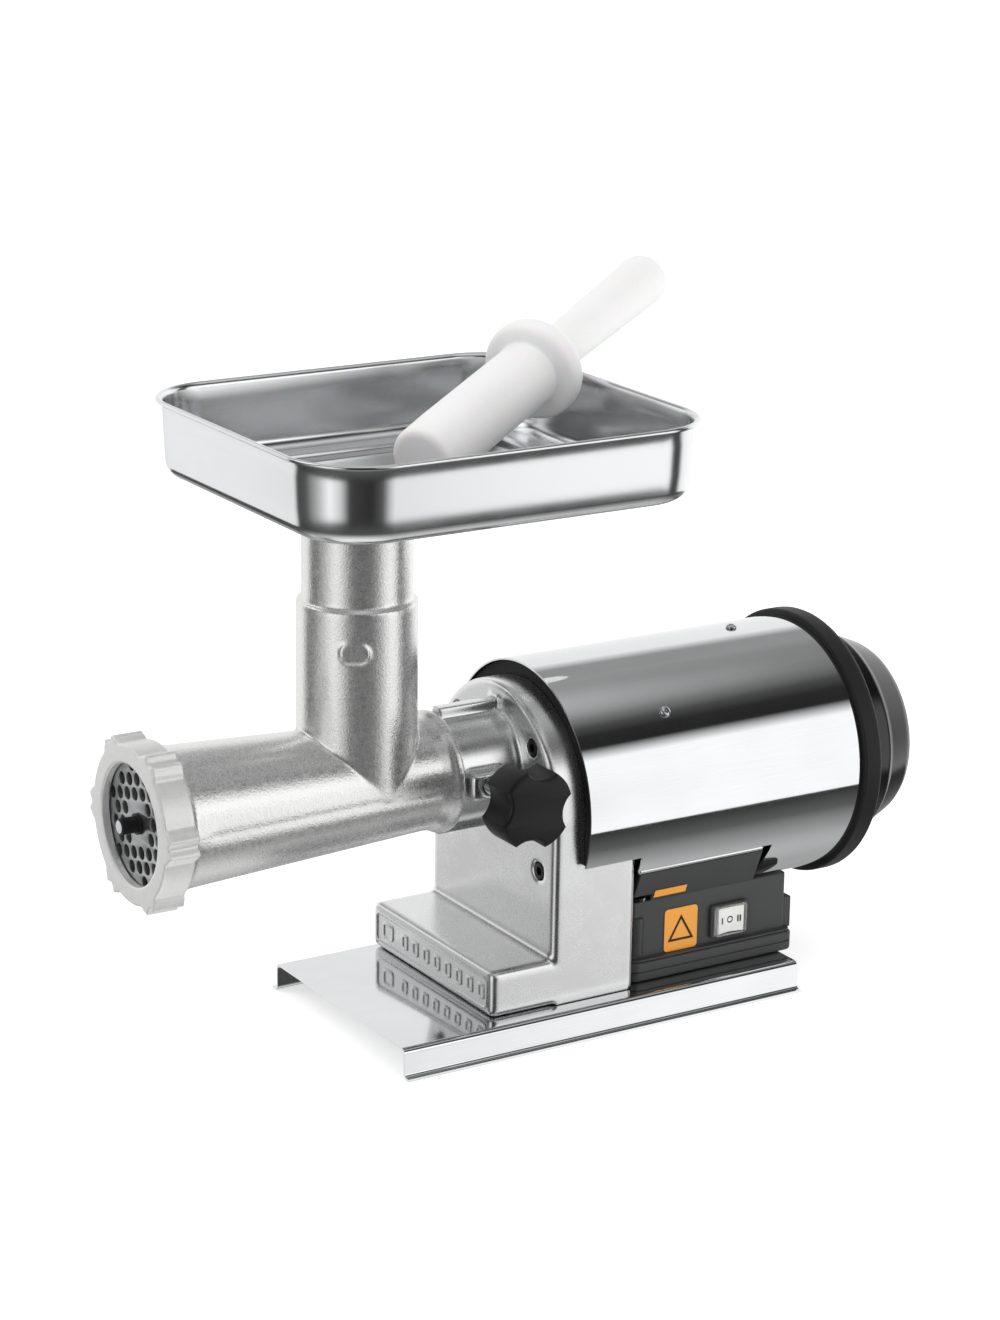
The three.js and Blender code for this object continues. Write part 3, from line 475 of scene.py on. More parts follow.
@dataclass(frozen=True)
class Finish:
    """A real material with the process that made its surface."""

    name: str
    colours: tuple[str, str]
    roughness: tuple[float, float]
    grain_mm: float
    relief_mm: float
    metallic: float = 0.0
    stretch: Point = (1, 1, 1)
    cloud_mm: float = 40
    grain: Grain = Grain.FINE
    coat: float = 0.0
    subsurface_mm: float = 0.0
    transmission: float = 0.0
    glow: float = 0.0
    ior: float = 1.5

    def material(self) -> bpy.types.Material:
        """The material of this finish, made once."""
        made = bpy.data.materials.get(self.name)
        return made or self._make()

    def _make(self) -> bpy.types.Material:
        """Builds the node tree: broad clouds for colour, small grain for roughness and relief.

        Returns:
            The new material.
        """
        material = bpy.data.materials.new(self.name)
        material.use_nodes = True
        tree = material.node_tree
        tree.nodes.clear()
        place = add_node(tree, "ShaderNodeTexCoord").outputs["Object"]
        scale = tuple(s / (self.grain_mm * MM) for s in self.stretch)
        small = add_node(tree, "ShaderNodeMapping", {"Vector": place, "Scale": scale}).outputs["Vector"]
        if self.grain is Grain.CRYSTAL:
            cells = add_node(tree, "ShaderNodeTexVoronoi", {"Vector": small, "Scale": 1.0, "Randomness": 1.0})
            dust = add_node(tree, "ShaderNodeTexNoise", {"Vector": small, "Scale": 0.45, "Detail": 4.0})
            grain = add_node(tree, "ShaderNodeMath", {0: cells.outputs["Distance"], 1: dust.outputs["Fac"]},
                             operation="MULTIPLY").outputs[0]
        else:
            grain = add_node(tree, "ShaderNodeTexNoise", {
                "Vector": small, "Scale": 1.0, "Detail": 3.0}).outputs["Fac"]
        broad = add_node(tree, "ShaderNodeTexNoise", {
            "Vector": place, "Scale": 1 / (self.cloud_mm * MM), "Detail": 2.0}).outputs["Fac"]
        mixed = add_node(tree, "ShaderNodeMath", {0: broad, 1: grain, 2: 0.0}, operation="ADD").outputs[0]
        share = add_node(tree, "ShaderNodeMapRange", {
            "Value": mixed, "From Min": 0.55, "From Max": 1.45}).outputs[0]
        colour = add_node(tree, "ShaderNodeMix", {
            0: share, 6: linear(self.colours[0]), 7: linear(self.colours[1])}, data_type="RGBA").outputs[2]
        rough = add_node(tree, "ShaderNodeMapRange", {
            "Value": mixed, "From Min": 0.5, "From Max": 1.5,
            "To Min": self.roughness[0], "To Max": self.roughness[1]}).outputs[0]
        relief = add_node(tree, "ShaderNodeBump", {
            "Height": grain, "Strength": 1.0, "Distance": self.relief_mm * MM}).outputs["Normal"]
        values = {"Base Color": colour, "Roughness": rough, "Normal": relief, "Metallic": self.metallic,
                  "Coat Weight": self.coat, "Transmission Weight": self.transmission}
        if not self.metallic:
            values["IOR"] = self.ior
        if self.glow:
            values |= {"Emission Color": (1, 1, 1, 1), "Emission Strength": self.glow}
        if self.subsurface_mm:
            values |= {"Subsurface Weight": 0.35, "Subsurface Scale": self.subsurface_mm * MM}
        shader = add_node(tree, "ShaderNodeBsdfPrincipled", values)
        add_node(tree, "ShaderNodeOutputMaterial", {"Surface": shader.outputs[0]})
        return material


# Cold-rolled stainless sheet, polished: a clear mirror with a trace of the rolling direction.
POLISHED_STAINLESS = Finish("polished_stainless_sheet", ("#D6D7D8", "#DEDFE0"), (0.045, 0.075), 0.5, 0.0003,
                            metallic=1, stretch=(1, 0.02, 1))
# The inner side of the sheet: rough, with painted shade in its dark grey that stands for the shade inside the
# cover.
SHADED_INNER_STAINLESS = Finish("inner_stainless_painted_shade", ("#3E3F40", "#4A4B4C"), (0.5, 0.65), 0.6, 0.004,
                        metallic=0.6)
# The same sheet pressed into the tray, with long drawing marks.
PRESSED_STAINLESS = Finish("pressed_stainless_sheet", ("#D6D7D8", "#E1E2E3"), (0.13, 0.21), 0.6, 0.001,
                           metallic=1, stretch=(0.05, 1, 1))
# The base plate's sheet, finely brushed lengthways: a slightly blurred mirror.
BRUSHED_STAINLESS = Finish("brushed_stainless_sheet", ("#D2D3D4", "#DCDDDE"), (0.06, 0.11), 0.5, 0.0005,
                           metallic=1, stretch=(1, 0.02, 1))
# Pressure die-cast aluminium, vibration finished: satin with a faint skin grain.
DIE_CAST_ALUMINIUM = Finish("die_cast_aluminium", ("#DCDDDD", "#E9E9E9"), (0.22, 0.34), 0.7, 0.012,
                            metallic=1, cloud_mm=22)
# Sand-cast iron, hot-dip tinned: bright broken grain of about a millimetre.
TINNED_IRON = Finish("hot_tinned_cast_iron", ("#E0E0DF", "#F6F6F5"), (0.25, 0.38), 1.2, 0.12, metallic=0.87,
                     cloud_mm=3, grain=Grain.CRYSTAL)
# The ring nut's tinned skin, rubbed dull by handling: frosted and nearly white.
FROSTED_TIN = Finish("frosted_tinned_iron", ("#E8E8E7", "#F6F6F5"), (0.42, 0.56), 1.1, 0.14, metallic=0.7,
                     cloud_mm=4, grain=Grain.CRYSTAL)
# Ground tool steel: grey with very fine turning marks.
GROUND_STEEL = Finish("ground_tool_steel", ("#B4B5B6", "#C4C5C6"), (0.28, 0.42), 0.4, 0.004, metallic=1)
# Zinc-plated screw steel: bright, slightly uneven.
PLATED_STEEL = Finish("zinc_plated_steel", ("#B6B8BB", "#CDCFD1"), (0.16, 0.30), 0.6, 0.004, metallic=1)
# Black-oxidised steel: near black with a soft metallic edge.
BLACK_OXIDE = Finish("black_oxidised_steel", ("#1B1B1D", "#2B2B2D"), (0.30, 0.46), 0.5, 0.004, metallic=0.6)
# Phenolic star knob, moulded: satin black.
PHENOLIC = Finish("moulded_phenolic", ("#0B0B0C", "#121213"), (0.34, 0.48), 0.9, 0.010, ior=1.4)
# Glass-filled nylon, moulded with a fine spark texture: matt black.
MATT_NYLON = Finish("textured_black_nylon", ("#111112", "#181819"), (0.46, 0.6), 0.6, 0.020, ior=1.42)
# ABS, mirror moulded: gloss black with a clear highlight.
GLOSS_ABS = Finish("gloss_black_abs", ("#0A0A0B", "#101011"), (0.14, 0.24), 2.0, 0.003)
# Polypropylene box, moulded dark grey with a fine texture.
GREY_POLYPROPYLENE = Finish("moulded_grey_polypropylene", ("#383939", "#434444"), (0.40, 0.54), 0.7, 0.016)
# High-density polyethylene, turned and tumbled: waxy white that lets a little light in.
WHITE_POLYETHYLENE = Finish("white_polyethylene", ("#F1F1F1", "#F9F9F9"), (0.38, 0.50), 1.1, 0.012,
                            subsurface_mm=4, ior=1.54)
# Off-white polycarbonate rocker, moulded smooth.
ROCKER_WHITE = Finish("moulded_white_polycarbonate", ("#E4E4E1", "#EFEFEC"), (0.24, 0.34), 1.5, 0.004,
                      ior=1.58)
# Clear flexible cover round the rocker.
CLEAR_SILICONE = Finish("clear_silicone", ("#E6E8E8", "#F2F3F3"), (0.12, 0.22), 1.5, 0.006, transmission=0.85,
                        ior=1.41)
# Printed vinyl label: flat orange film with a slight sheen.
ORANGE_VINYL = Finish("orange_vinyl_film", ("#EE9E35", "#F4AA44"), (0.36, 0.48), 1.2, 0.003)
# Printing ink on a label or a rocker.
BLACK_INK = Finish("black_printing_ink", ("#161616", "#1F1F1F"), (0.42, 0.55), 0.8, 0.002)
# Enamelled copper wire, wound.
ENAMELLED_COPPER = Finish("enamelled_copper_wire", ("#8E4A28", "#B2683D"), (0.28, 0.42), 1.2, 0.15,
                          metallic=0.8, stretch=(1, 0.3, 1))
# Nitrile rubber, moulded: dull black.
NITRILE = Finish("moulded_nitrile_rubber", ("#151515", "#1F1F1F"), (0.62, 0.76), 0.8, 0.02)
# Painted plaster floor: plain, pale, barely uneven.
FLOOR_PAINT = Finish("pale_floor_paint", ("#F3F3F3", "#F8F8F8"), (0.7, 0.8), 3.0, 0.0, cloud_mm=900,
                     glow=0.5)

NODE_FINISHES = {
    "worm": TINNED_IRON, "front_winding": ENAMELLED_COPPER, "rear_winding": ENAMELLED_COPPER,
    "motor_front_shield": DIE_CAST_ALUMINIUM, "motor_rear_shield": DIE_CAST_ALUMINIUM,
    "motor_frame": BLACK_OXIDE, "cooling_fan": MATT_NYLON, "terminal_block": ROCKER_WHITE,
    "shaft_seal": NITRILE, "capacitor": PLATED_STEEL, "lid_screw": PLATED_STEEL,
}


def dress_frame() -> None:
    """Gives every node of the frame a finish of its own; those that are replaced are hidden anyway."""
    for name, obj in frame["nodes"].items():
        finish = NODE_FINISHES.get(name, GROUND_STEEL)
        if not obj.data.materials:
            obj.data.materials.append(None)
        for socket in obj.material_slots:
            socket.material = finish.material()


# ---- Stand --------------------------------------------------------------------------------------
@dataclass
class BasePlate:
    """Stainless sheet folded down along both sides."""

    x: float = 5.4
    half: float = 81
    front: float = -115.8
    rear: float = 174.4
    top: float = 19.1
    sheet: float = 1.5
    bend: float = 4
    foot: float = 5

    def section(self) -> list[Flat]:
        """Cross-section of the folded sheet, with the lower edges curled out.

        Returns:
            A closed outline in mm.
        """
        curl, low = self.foot / 2, self.sheet + self.foot / 2
        side, top = self.half - self.bend, self.top - self.bend
        right = [
            *arc(side, top, self.bend, 90, 0), *arc(self.half + curl, low, curl, 180, 270),
            (self.half + self.foot, self.sheet), (self.half + self.foot, 0),
            *arc(self.half + curl, low, curl + self.sheet, 270, 180),
            *arc(side, top, self.bend - self.sheet, 0, 90),
        ]
        left = [(-p, q) for p, q in reversed(right)]
        return [(p + self.x, q) for p, q in right + left]

    def build(self) -> None:
        """Makes the plate."""
        plate = slab(self.section(), Axis.Y, self.front, self.rear)
        plate.piece("folded_base_plate", BRUSHED_STAINLESS, "stand", "stainless_sheet", ["base_plate"])


@dataclass
class GearCase:
    """Die-cast case: toe, upright and the socket that takes the grinding head."""

    half: float = 72.9
    front: float = -3
    rear: float = CASE_REAR
    edge: float = 3.5
    foot: float = 19.4
    toe_front: float = -47
    toe_top: float = 49.3
    nose: float = 33.8
    nose_bore: float = 27.4
    nose_front: float = -46
    rib: float = 4.5
    rib_out: float = 41
    wall: float = 7
    floor: float = 84
    knob_y: float = -31
    knob_z: float = 158.5
    bolt_head: float = 5.2
    bolt: float = 2.9
    bolt_end: float = 64
    bolts: tuple[Flat, ...] = ((43.1, 178.3), (-43.1, 178.3), (53.8, 101.9), (-53.8, 101.9))

    def casting(self) -> Form:
        """The outside of the casting, joined.

        Returns:
            One solid form.
        """
        body = slab(arch(self.half, MOTOR_Z, self.foot), Axis.Y, self.front, self.rear, self.edge)
        toe_middle = (self.foot + self.toe_top) / 2
        toe = slab(round_rectangle(0, toe_middle, self.half, self.toe_top - toe_middle, 4.5), Axis.Y,
                   self.toe_front, self.front + 12, self.edge)
        fillet = 4.0
        web = [(self.front + 1, self.toe_top - 1), (self.front - fillet, self.toe_top),
               *arc(self.front - fillet, self.toe_top + fillet, fillet, -90, 0),
               (self.front + 1, self.toe_top + fillet)]
        root = slab(web, Axis.X, self.edge - self.half, self.half - self.edge)
        nose = turned([(0, self.nose_front), (self.nose, self.nose_front), (self.nose, self.front - 9),
                       *arc(self.nose + 8, self.front - 6, 8, 180, 100, 8), (self.nose + 10, self.front + 1),
                       (0, self.front + 1)], Axis.Y, 0, WORM_Z)
        ribs = []
        for side in (1, -1):
            ends = sorted((WORM_Z + side * (self.nose - 2), WORM_Z + side * self.rib_out))
            ribs.append(block(-self.rib, self.rib, self.nose_front, self.front + 1, *ends))
        boss = slab(round_rectangle(self.knob_y, self.knob_z, 13, 8.5, 3), Axis.X, 22, 44, 1.5)
        return body.join(toe, root, nose, *ribs, boss)

    def hollows(self) -> list[Form]:
        """Everything cut out of the casting.

        Returns:
            Tools for one cut.
        """
        inside = self.front + self.wall + 1
        cavity = slab(arch(self.half - self.wall, MOTOR_Z, self.floor + 6), Axis.Y, inside, self.rear + 1)
        under_toe = block(self.wall - self.half, self.half - self.wall, self.toe_front + 5, inside, 0,
                          self.toe_top - 5)
        under = block(self.wall - self.half, self.half - self.wall, inside - 1, self.rear - self.wall, 0,
                      self.floor - 4)
        bores = [rod(Axis.Y, self.nose_bore, self.nose_front - 1, -12, 0, WORM_Z, 96),
                 rod(Axis.Y, 22, -13, -7, 0, WORM_Z), rod(Axis.Y, 24.3, -8, 6, 0, WORM_Z),
                 rod(Axis.X, 5.6, 20, 46, self.knob_y, self.knob_z)]
        seats = [rod(Axis.Y, 5.9, self.front - 1, self.front + 6, x, z) for x, z in self.bolts]
        return [cavity, under_toe, under, *bores, *seats]

    def panel(self) -> Form:
        """Raised frame on the toe's front with a plain row of ribs inside it.

        Returns:
            The frame with its ribs.
        """
        centre, high, wide = (self.foot + self.toe_top) / 2, 10.6, self.half - 5
        face = self.toe_front
        rim = slab(round_rectangle(0, centre, wide, high, 4), Axis.Y, face - 0.9, face + 1.2, 0.6,
                   [round_rectangle(0, centre, wide - 1.7, high - 1.7, 3)])
        ribs = []
        for i in range(8):
            x = -wide + 36 + i * 13.2
            ribs.append(slab(round_rectangle(x, centre, 3.6, 5.2, 1.6), Axis.Y, face - 0.7, face + 1.2, 0.5,
                             [round_rectangle(x, centre, 1.8, 3.2, 0.8)]))
        mark = slab(round_rectangle(-wide + 15, centre, 6.5, 6, 3), Axis.Y, face - 0.7, face + 1.2, 0.5,
                    [round_rectangle(-wide + 15, centre, 4.6, 4.1, 2)])
        return rim.with_form(*ribs, mark)

    def build(self) -> None:
        """Makes the casting, its panel and its four bolts."""
        case = self.casting().cut(*self.hollows()).cast(1.3, 4)
        case.piece("gear_case_casting", DIE_CAST_ALUMINIUM, "stand", "cast_aluminium", ["gear_case"], 60)
        self.panel().piece("toe_panel", DIE_CAST_ALUMINIUM, "stand", "cast_aluminium")
        for i, (x, z) in enumerate(self.bolts, 1):
            face = self.front + 0.5
            head = turned(rounded([
                (0, face), (self.bolt_head, face, 0.8), (self.bolt_head, face + 5), (self.bolt, face + 5),
                (self.bolt, self.bolt_end), (0, self.bolt_end)]), Axis.Y, x, z, 48)
            bolt = head.cut(rod(Axis.Y, 3.0, face - 1, face + 3, x, z, 6))
            bolt.piece(f"socket_bolt_{i}", BLACK_OXIDE, "stand", "blackened_steel", [f"case_bolt_{i}"])


@dataclass
class Clamp:
    """Star knob and its screw, which press on the head's spigot."""

    y: float = -31
    z: float = 158.5
    screw: float = 5
    pitch: float = 1.5
    tip: float = 27.4
    knob_from: float = 70
    knob_to: float = 96
    hub_from: float = 62
    hub_to: float = 72
    lobe: float = 25.2
    lobe_angle: float = 36
    scallop: float = 15
    scallop_centre: float = 34

    def star(self) -> list[Flat]:
        """Outline of the knob: four wide lobes between round scallops.

        Returns:
            A closed outline in mm.
        """
        outline = []
        count = 240
        for i in range(count):
            turn = FULL * i / count
            across = (math.degrees(turn) - self.lobe_angle) % 90 - 45
            side = self.scallop_centre * math.sin(math.radians(across))
            radius = self.lobe
            if abs(side) < self.scallop:
                ahead = self.scallop_centre * math.cos(math.radians(across))
                radius = min(radius, ahead - math.sqrt(self.scallop ** 2 - side ** 2))
            outline.append((self.y + radius * math.cos(turn), self.z + radius * math.sin(turn)))
        return outline

    def build(self) -> None:
        """Makes the screw with its thread and the knob."""
        profile: list[Flat] = [(0, self.tip), (self.screw - 1, self.tip)]
        along = self.tip + 1
        while along < self.knob_from:
            profile += [(self.screw - 0.9, along), (self.screw, along + self.pitch / 2)]
            along += self.pitch
        profile += [(self.screw - 0.9, along), (self.screw - 0.9, self.knob_to - 5), (0, self.knob_to - 5)]
        turned(profile, Axis.X, self.y, self.z, 48).piece(
            "threaded_clamp_screw", PLATED_STEEL, "clamp", "steel", ["clamp_screw"], 25)
        grip = slab(self.star(), Axis.X, self.knob_from, self.knob_to, 2.4, steps=4)
        hub = turned(rounded([
            (self.screw + 0.6, self.hub_from), (10.2, self.hub_from, 1), (11, self.hub_to),
            (self.screw + 0.6, self.hub_to)]), Axis.X, self.y, self.z)
        grip.with_form(hub).piece("star_knob", PHENOLIC, "clamp", "black_plastic", ["clamp_knob"], 40)


# ---- Grinding head ------------------------------------------------------------------------------
@dataclass
class GrindingHead:
    """Tinned iron body with its barrel and throat, and the pieces at its mouth."""

    front: float = -247
    front_r: float = 43.7
    rear: float = -46
    rear_r: float = 35.2
    flange: float = 38.5
    spigot: float = 27
    spigot_end: float = -14
    seat_end: float = -228.7
    chamber_end: float = -57
    throat_y: float = -101
    throat: float = 36.8
    step: float = 276.8
    neck: float = 33.7
    top: float = 341.7
    throat_bore: float = 27.9
    ring_front: float = -254
    ring_rear: float = -234
    ring_opening: float = 37
    ring_r: float = 48.5
    lug_r: float = 54.1
    thread: float = 45.4
    plate_front: float = -248
    plate_rear: float = -240
    plate_r: float = 41
    hole: float = 3.95
    hole_pitch: float = 10.2
    hole_turn: float = 13
    hole_from: float = 15
    hole_to: float = 36
    hub: float = 5.4
    stud: float = 5
    stud_tip: float = -260.5
    bumps: tuple[Flat, ...] = ((-13, 0), (-9, 0.55), (-5.5, 1), (0, 0.42), (5.5, 1), (9, 0.55), (13, 0))

    def flute(self, radius: float, along: float, turn: float) -> float:
        """Radius of the barrel with its six shallow lengthwise ridges, which fade at both ends.

        Args:
            radius: plain radius there, in mm.
            along: place along the barrel in mm.
            turn: angle round the barrel in radians.

        Returns:
            The radius with its ridge, in mm.
        """
        if not self.front + 16 < along < self.rear - 10 or radius < self.rear_r - 1:
            return radius
        wave = math.cos(3 * (turn - math.pi / 2))
        return radius - 0.9 * (1 - abs(wave)) ** 2

    def body(self) -> Form:
        """Barrel, throat, bore and keyway.

        Returns:
            The casting as one form.
        """
        steps = [(self.front_r + (self.rear_r - self.front_r) * i / 12,
                  self.ring_rear + 3 + (self.rear - 14 - self.ring_rear - 3) * i / 12) for i in range(13)]
        mouth, seat = self.front_r + 1.3, self.plate_r + 0.3
        barrel = turned([
            (0, self.front), (mouth, self.front), (mouth, self.ring_rear + 1), *steps,
            (self.rear_r + 1, self.rear - 7), (self.flange, self.rear - 4), (self.flange, self.rear),
            (self.spigot, self.rear), (self.spigot, self.spigot_end), (0, self.spigot_end),
        ], Axis.Y, 0, WORM_Z, 144, self.flute)
        neck = turned([
            (0, WORM_Z), (self.throat, WORM_Z), (self.throat, self.step - 1), (self.neck, self.step + 1.5),
            (self.neck, self.top), (0, self.top)], Axis.Z, 0, self.throat_y, 144)
        bore = turned([
            (0, self.front - 1), (seat, self.front - 1), (seat, self.seat_end), (33.5, self.seat_end),
            (28.5, self.chamber_end), (16, self.chamber_end), (16, self.spigot_end + 4),
            (0, self.spigot_end + 4)], Axis.Y, 0, WORM_Z, 96)
        feed = rod(Axis.Z, self.throat_bore, WORM_Z, self.top + 1, 0, self.throat_y, 96)
        pad = slab(round_rectangle(0, 0, 9, 6, 5.5), Axis.Z, self.throat - 3, self.throat + 0.9, 0.7)
        turn = Matrix.Rotation(math.radians(-32), 4, "Z") @ Matrix.Rotation(math.radians(90), 4, "Y") @ \
            Matrix.Rotation(math.radians(90), 4, "Z")
        pad.moved(Matrix.Translation((0, self.throat_y, 252)) @ turn)
        return barrel.join(neck, pad).cut(bore, feed).cast(1.2, 3)

    def bump(self, turn: float) -> float:
        """How far a lug stands out at an angle, from 0 to 1.

        Args:
            turn: angle round the nut in radians.

        Returns:
            Share of the full height of a lug.
        """
        offset = (math.degrees(turn) + 30) % 60 - 30
        for (start, low), (end, high) in zip(self.bumps, self.bumps[1:]):
            if start <= offset <= end:
                share = (1 - math.cos(math.pi * (offset - start) / (end - start))) / 2
                return low + (high - low) * share
        return 0.0

    def ring(self) -> Form:
        """Ring nut with six double-ridged lugs.

        Returns:
            The nut as one form.
        """
        outline = []
        count = 360
        for i in range(count):
            turn = FULL * i / count
            radius = self.ring_r + (self.lug_r - self.ring_r) * self.bump(turn)
            outline.append((radius * math.cos(turn), WORM_Z + radius * math.sin(turn)))
        wide = [circle(0, WORM_Z, self.thread, 120)]
        narrow = [circle(0, WORM_Z, self.ring_opening, 120)]
        shell = slab(outline, Axis.Y, self.plate_front - 0.8, self.ring_rear, 0, wide)
        face = slab(outline, Axis.Y, self.ring_front, self.plate_front - 0.3, 0, narrow)
        return shell.join(face).cast(0.8, 3)

    def plate(self) -> Form:
        """Cutting plate with round holes on a hexagonal grid.

        Returns:
            The plate as one form.
        """
        holes = [circle(0, WORM_Z, self.hub, 40)]
        for row in range(-4, 5):
            for column in range(-6, 7):
                spot = Vector((column + row / 2, row * math.sqrt(0.75))) * self.hole_pitch
                if self.hole_from <= spot.length <= self.hole_to:
                    spot.rotate(Matrix.Rotation(math.radians(self.hole_turn), 2))
                    holes.append(circle(spot.x, WORM_Z + spot.y, self.hole, 32))
        notch = arc(0, WORM_Z - self.plate_r, 2.4, 175, 5, 10)
        rim = arc(0, WORM_Z, self.plate_r, -86.6, 266.6, 120)
        return slab(rim + notch, Axis.Y, self.plate_front, self.plate_rear, 0.25, holes, 2)

    def build(self) -> None:
        """Makes the head body, ring nut, plate and stud."""
        self.body().piece("tinned_head_body", TINNED_IRON, "head", "tinned_iron", ["grinding_head"], 60)
        self.ring().piece("lugged_ring_nut", FROSTED_TIN, "nut", "tinned_iron", ["ring_nut"], 60)
        self.plate().piece("drilled_plate", GROUND_STEEL, "plate", "steel", ["cutting_plate"])
        tip, shoulder = self.stud_tip, -239.7
        stud = turned(rounded([
            (4.2, tip + 0.02), (self.stud, tip + 0.8, 0.3), (self.stud, shoulder), (6, shoulder),
            (6, -229.8), (self.stud, -229.8), (self.stud, -213.5), (0, -213.5), (0, tip + 0.02),
        ]), Axis.Y, 0, WORM_Z, 64)
        collar = turned(rounded([(self.stud + 0.02, -249.9), (6.4, -249.9, 0.4), (6.4, -248.3),
                                 (self.stud + 0.02, -248.3)]), Axis.Y, 0, WORM_Z)
        stud.with_form(collar).piece(
            "worm_stud_shank", BLACK_OXIDE, "feed_worm", "blackened_steel", ["worm_stud"])
        end = turned(rounded([
            (0, tip), (4.1, tip, 0.3), (4.7, tip + 0.6), (0, tip + 0.6)]), Axis.Y, 0, WORM_Z, 48)
        end.piece("worm_stud_end", PLATED_STEEL, "feed_worm", "steel")


# ---- Tray and pusher ----------------------------------------------------------------------------
@dataclass
class FeedTray:
    """Pressed tray with a curled lip, a raised band in its floor and a collar in the throat."""

    half_x: float = 118.2
    front: float = -190.8
    rear: float = 81.8
    lip_out: float = 5
    bottom: float = 342
    lip: float = 389.3
    corner: float = 42
    edge: float = 9
    draft: float = 1.6
    sheet: float = 1.2
    throat_y: float = -101
    collar: float = 25.9
    collar_foot: float = 326
    band: tuple[Flat, ...] = (
        (52, 0), (45, 0), (41.5, 0.6), (39, 1.9), (36, 2.5), (31, 2.5), (28, 1.9), (25.5, 0.6), (22, 0))
    curl: tuple[Flat, ...] = (
        (0.5, 2.0), (1.4, 0.9), (2.6, 0.25), (3.7, 0.15), (4.6, 0.8), (4.9, 1.7), (4.6, 2.5))

    def loop(self, inset: float, z: float) -> list[Point]:
        """Round-cornered loop at a height, moved in from the wall's top edge.

        Args:
            inset: distance in from the top edge, in mm.
            z: height in mm.

        Returns:
            Points of the loop in mm.
        """
        half_y = (self.rear - self.front) / 2 - self.lip_out
        corner = max(self.corner - inset, 4)
        centre = (self.front + self.rear) / 2
        outline = round_rectangle(0, centre, self.half_x - inset, half_y - inset, corner, 20)
        return [(x, y, z) for x, y in outline]

    def build(self) -> None:
        """Makes the tray."""
        low = self.bottom
        loops = [self.loop(inset, low + rise) for inset, rise in self.band]
        for step in range(9):
            turn = math.radians(10 * step)
            inset = self.draft + self.edge * (1 - math.sin(turn))
            loops.append(self.loop(inset, low + self.edge * (1 - math.cos(turn))))
        for step in range(1, 5):
            share = step / 4
            height = low + self.edge + (self.lip - 3.4 - low - self.edge) * share
            loops.append(self.loop(self.draft * (1 - share), height))
        for out, down in self.curl:
            loops.append(self.loop(-out, self.lip - down))
        tray = loft(loops, close_start=True).thicken(self.sheet)
        tray.cut(rod(Axis.Z, self.collar, low - 5, low + 9, 0, self.throat_y, 96))
        ring = turned([
            (self.collar + 1.3, self.collar_foot), (self.collar + 1.3, low - 0.2),
            (self.collar + 2.4, low + 0.2), (self.collar + 4, low + 0.3), (self.collar + 4, low + 1.25),
            *arc(self.collar + 3, low - 1.75, 3, 90, 180, 6), (self.collar, self.collar_foot),
        ], Axis.Z, 0, self.throat_y)
        tray.with_form(ring).piece(
            "pressed_feed_tray", PRESSED_STAINLESS, "tray", "stainless_sheet", ["feed_tray"], 50)


@dataclass
class Pusher:
    """Turned polyethylene pusher that lies in the tray."""

    rammer: float = 20.8
    length: float = 141
    flange: float = 32
    thick: float = 18
    grip: float = 13.9
    grip_end: float = 16.7
    grab: float = 155
    place: Point = (-32.5, 41.7, 395.7)
    azimuth: float = -29
    elevation: float = 12.8

    def build(self) -> None:
        """Makes the pusher where it rests."""
        deep = self.thick / 2
        profile = rounded([
            (0, -self.length), (self.rammer - 0.6, -self.length, 6), (self.rammer, -self.length + 30),
            (self.rammer, -deep, 2), (self.flange, -deep, 8), (self.flange, deep, 8), (self.grip, deep, 4),
            (self.grip, deep + 12), (self.grip_end, self.grab - 14), (self.grip_end, self.grab, 8),
            (0, self.grab),
        ], 8)
        stick = turned(profile, Axis.Y, sides=112)
        turn = Matrix.Rotation(math.radians(-self.azimuth), 4, "Z") @ \
            Matrix.Rotation(math.radians(self.elevation), 4, "X")
        stick.moved(Matrix.Translation(self.place) @ turn)
        stick.piece("turned_pusher", WHITE_POLYETHYLENE, "ram", "white_plastic", ["pusher"], 50)


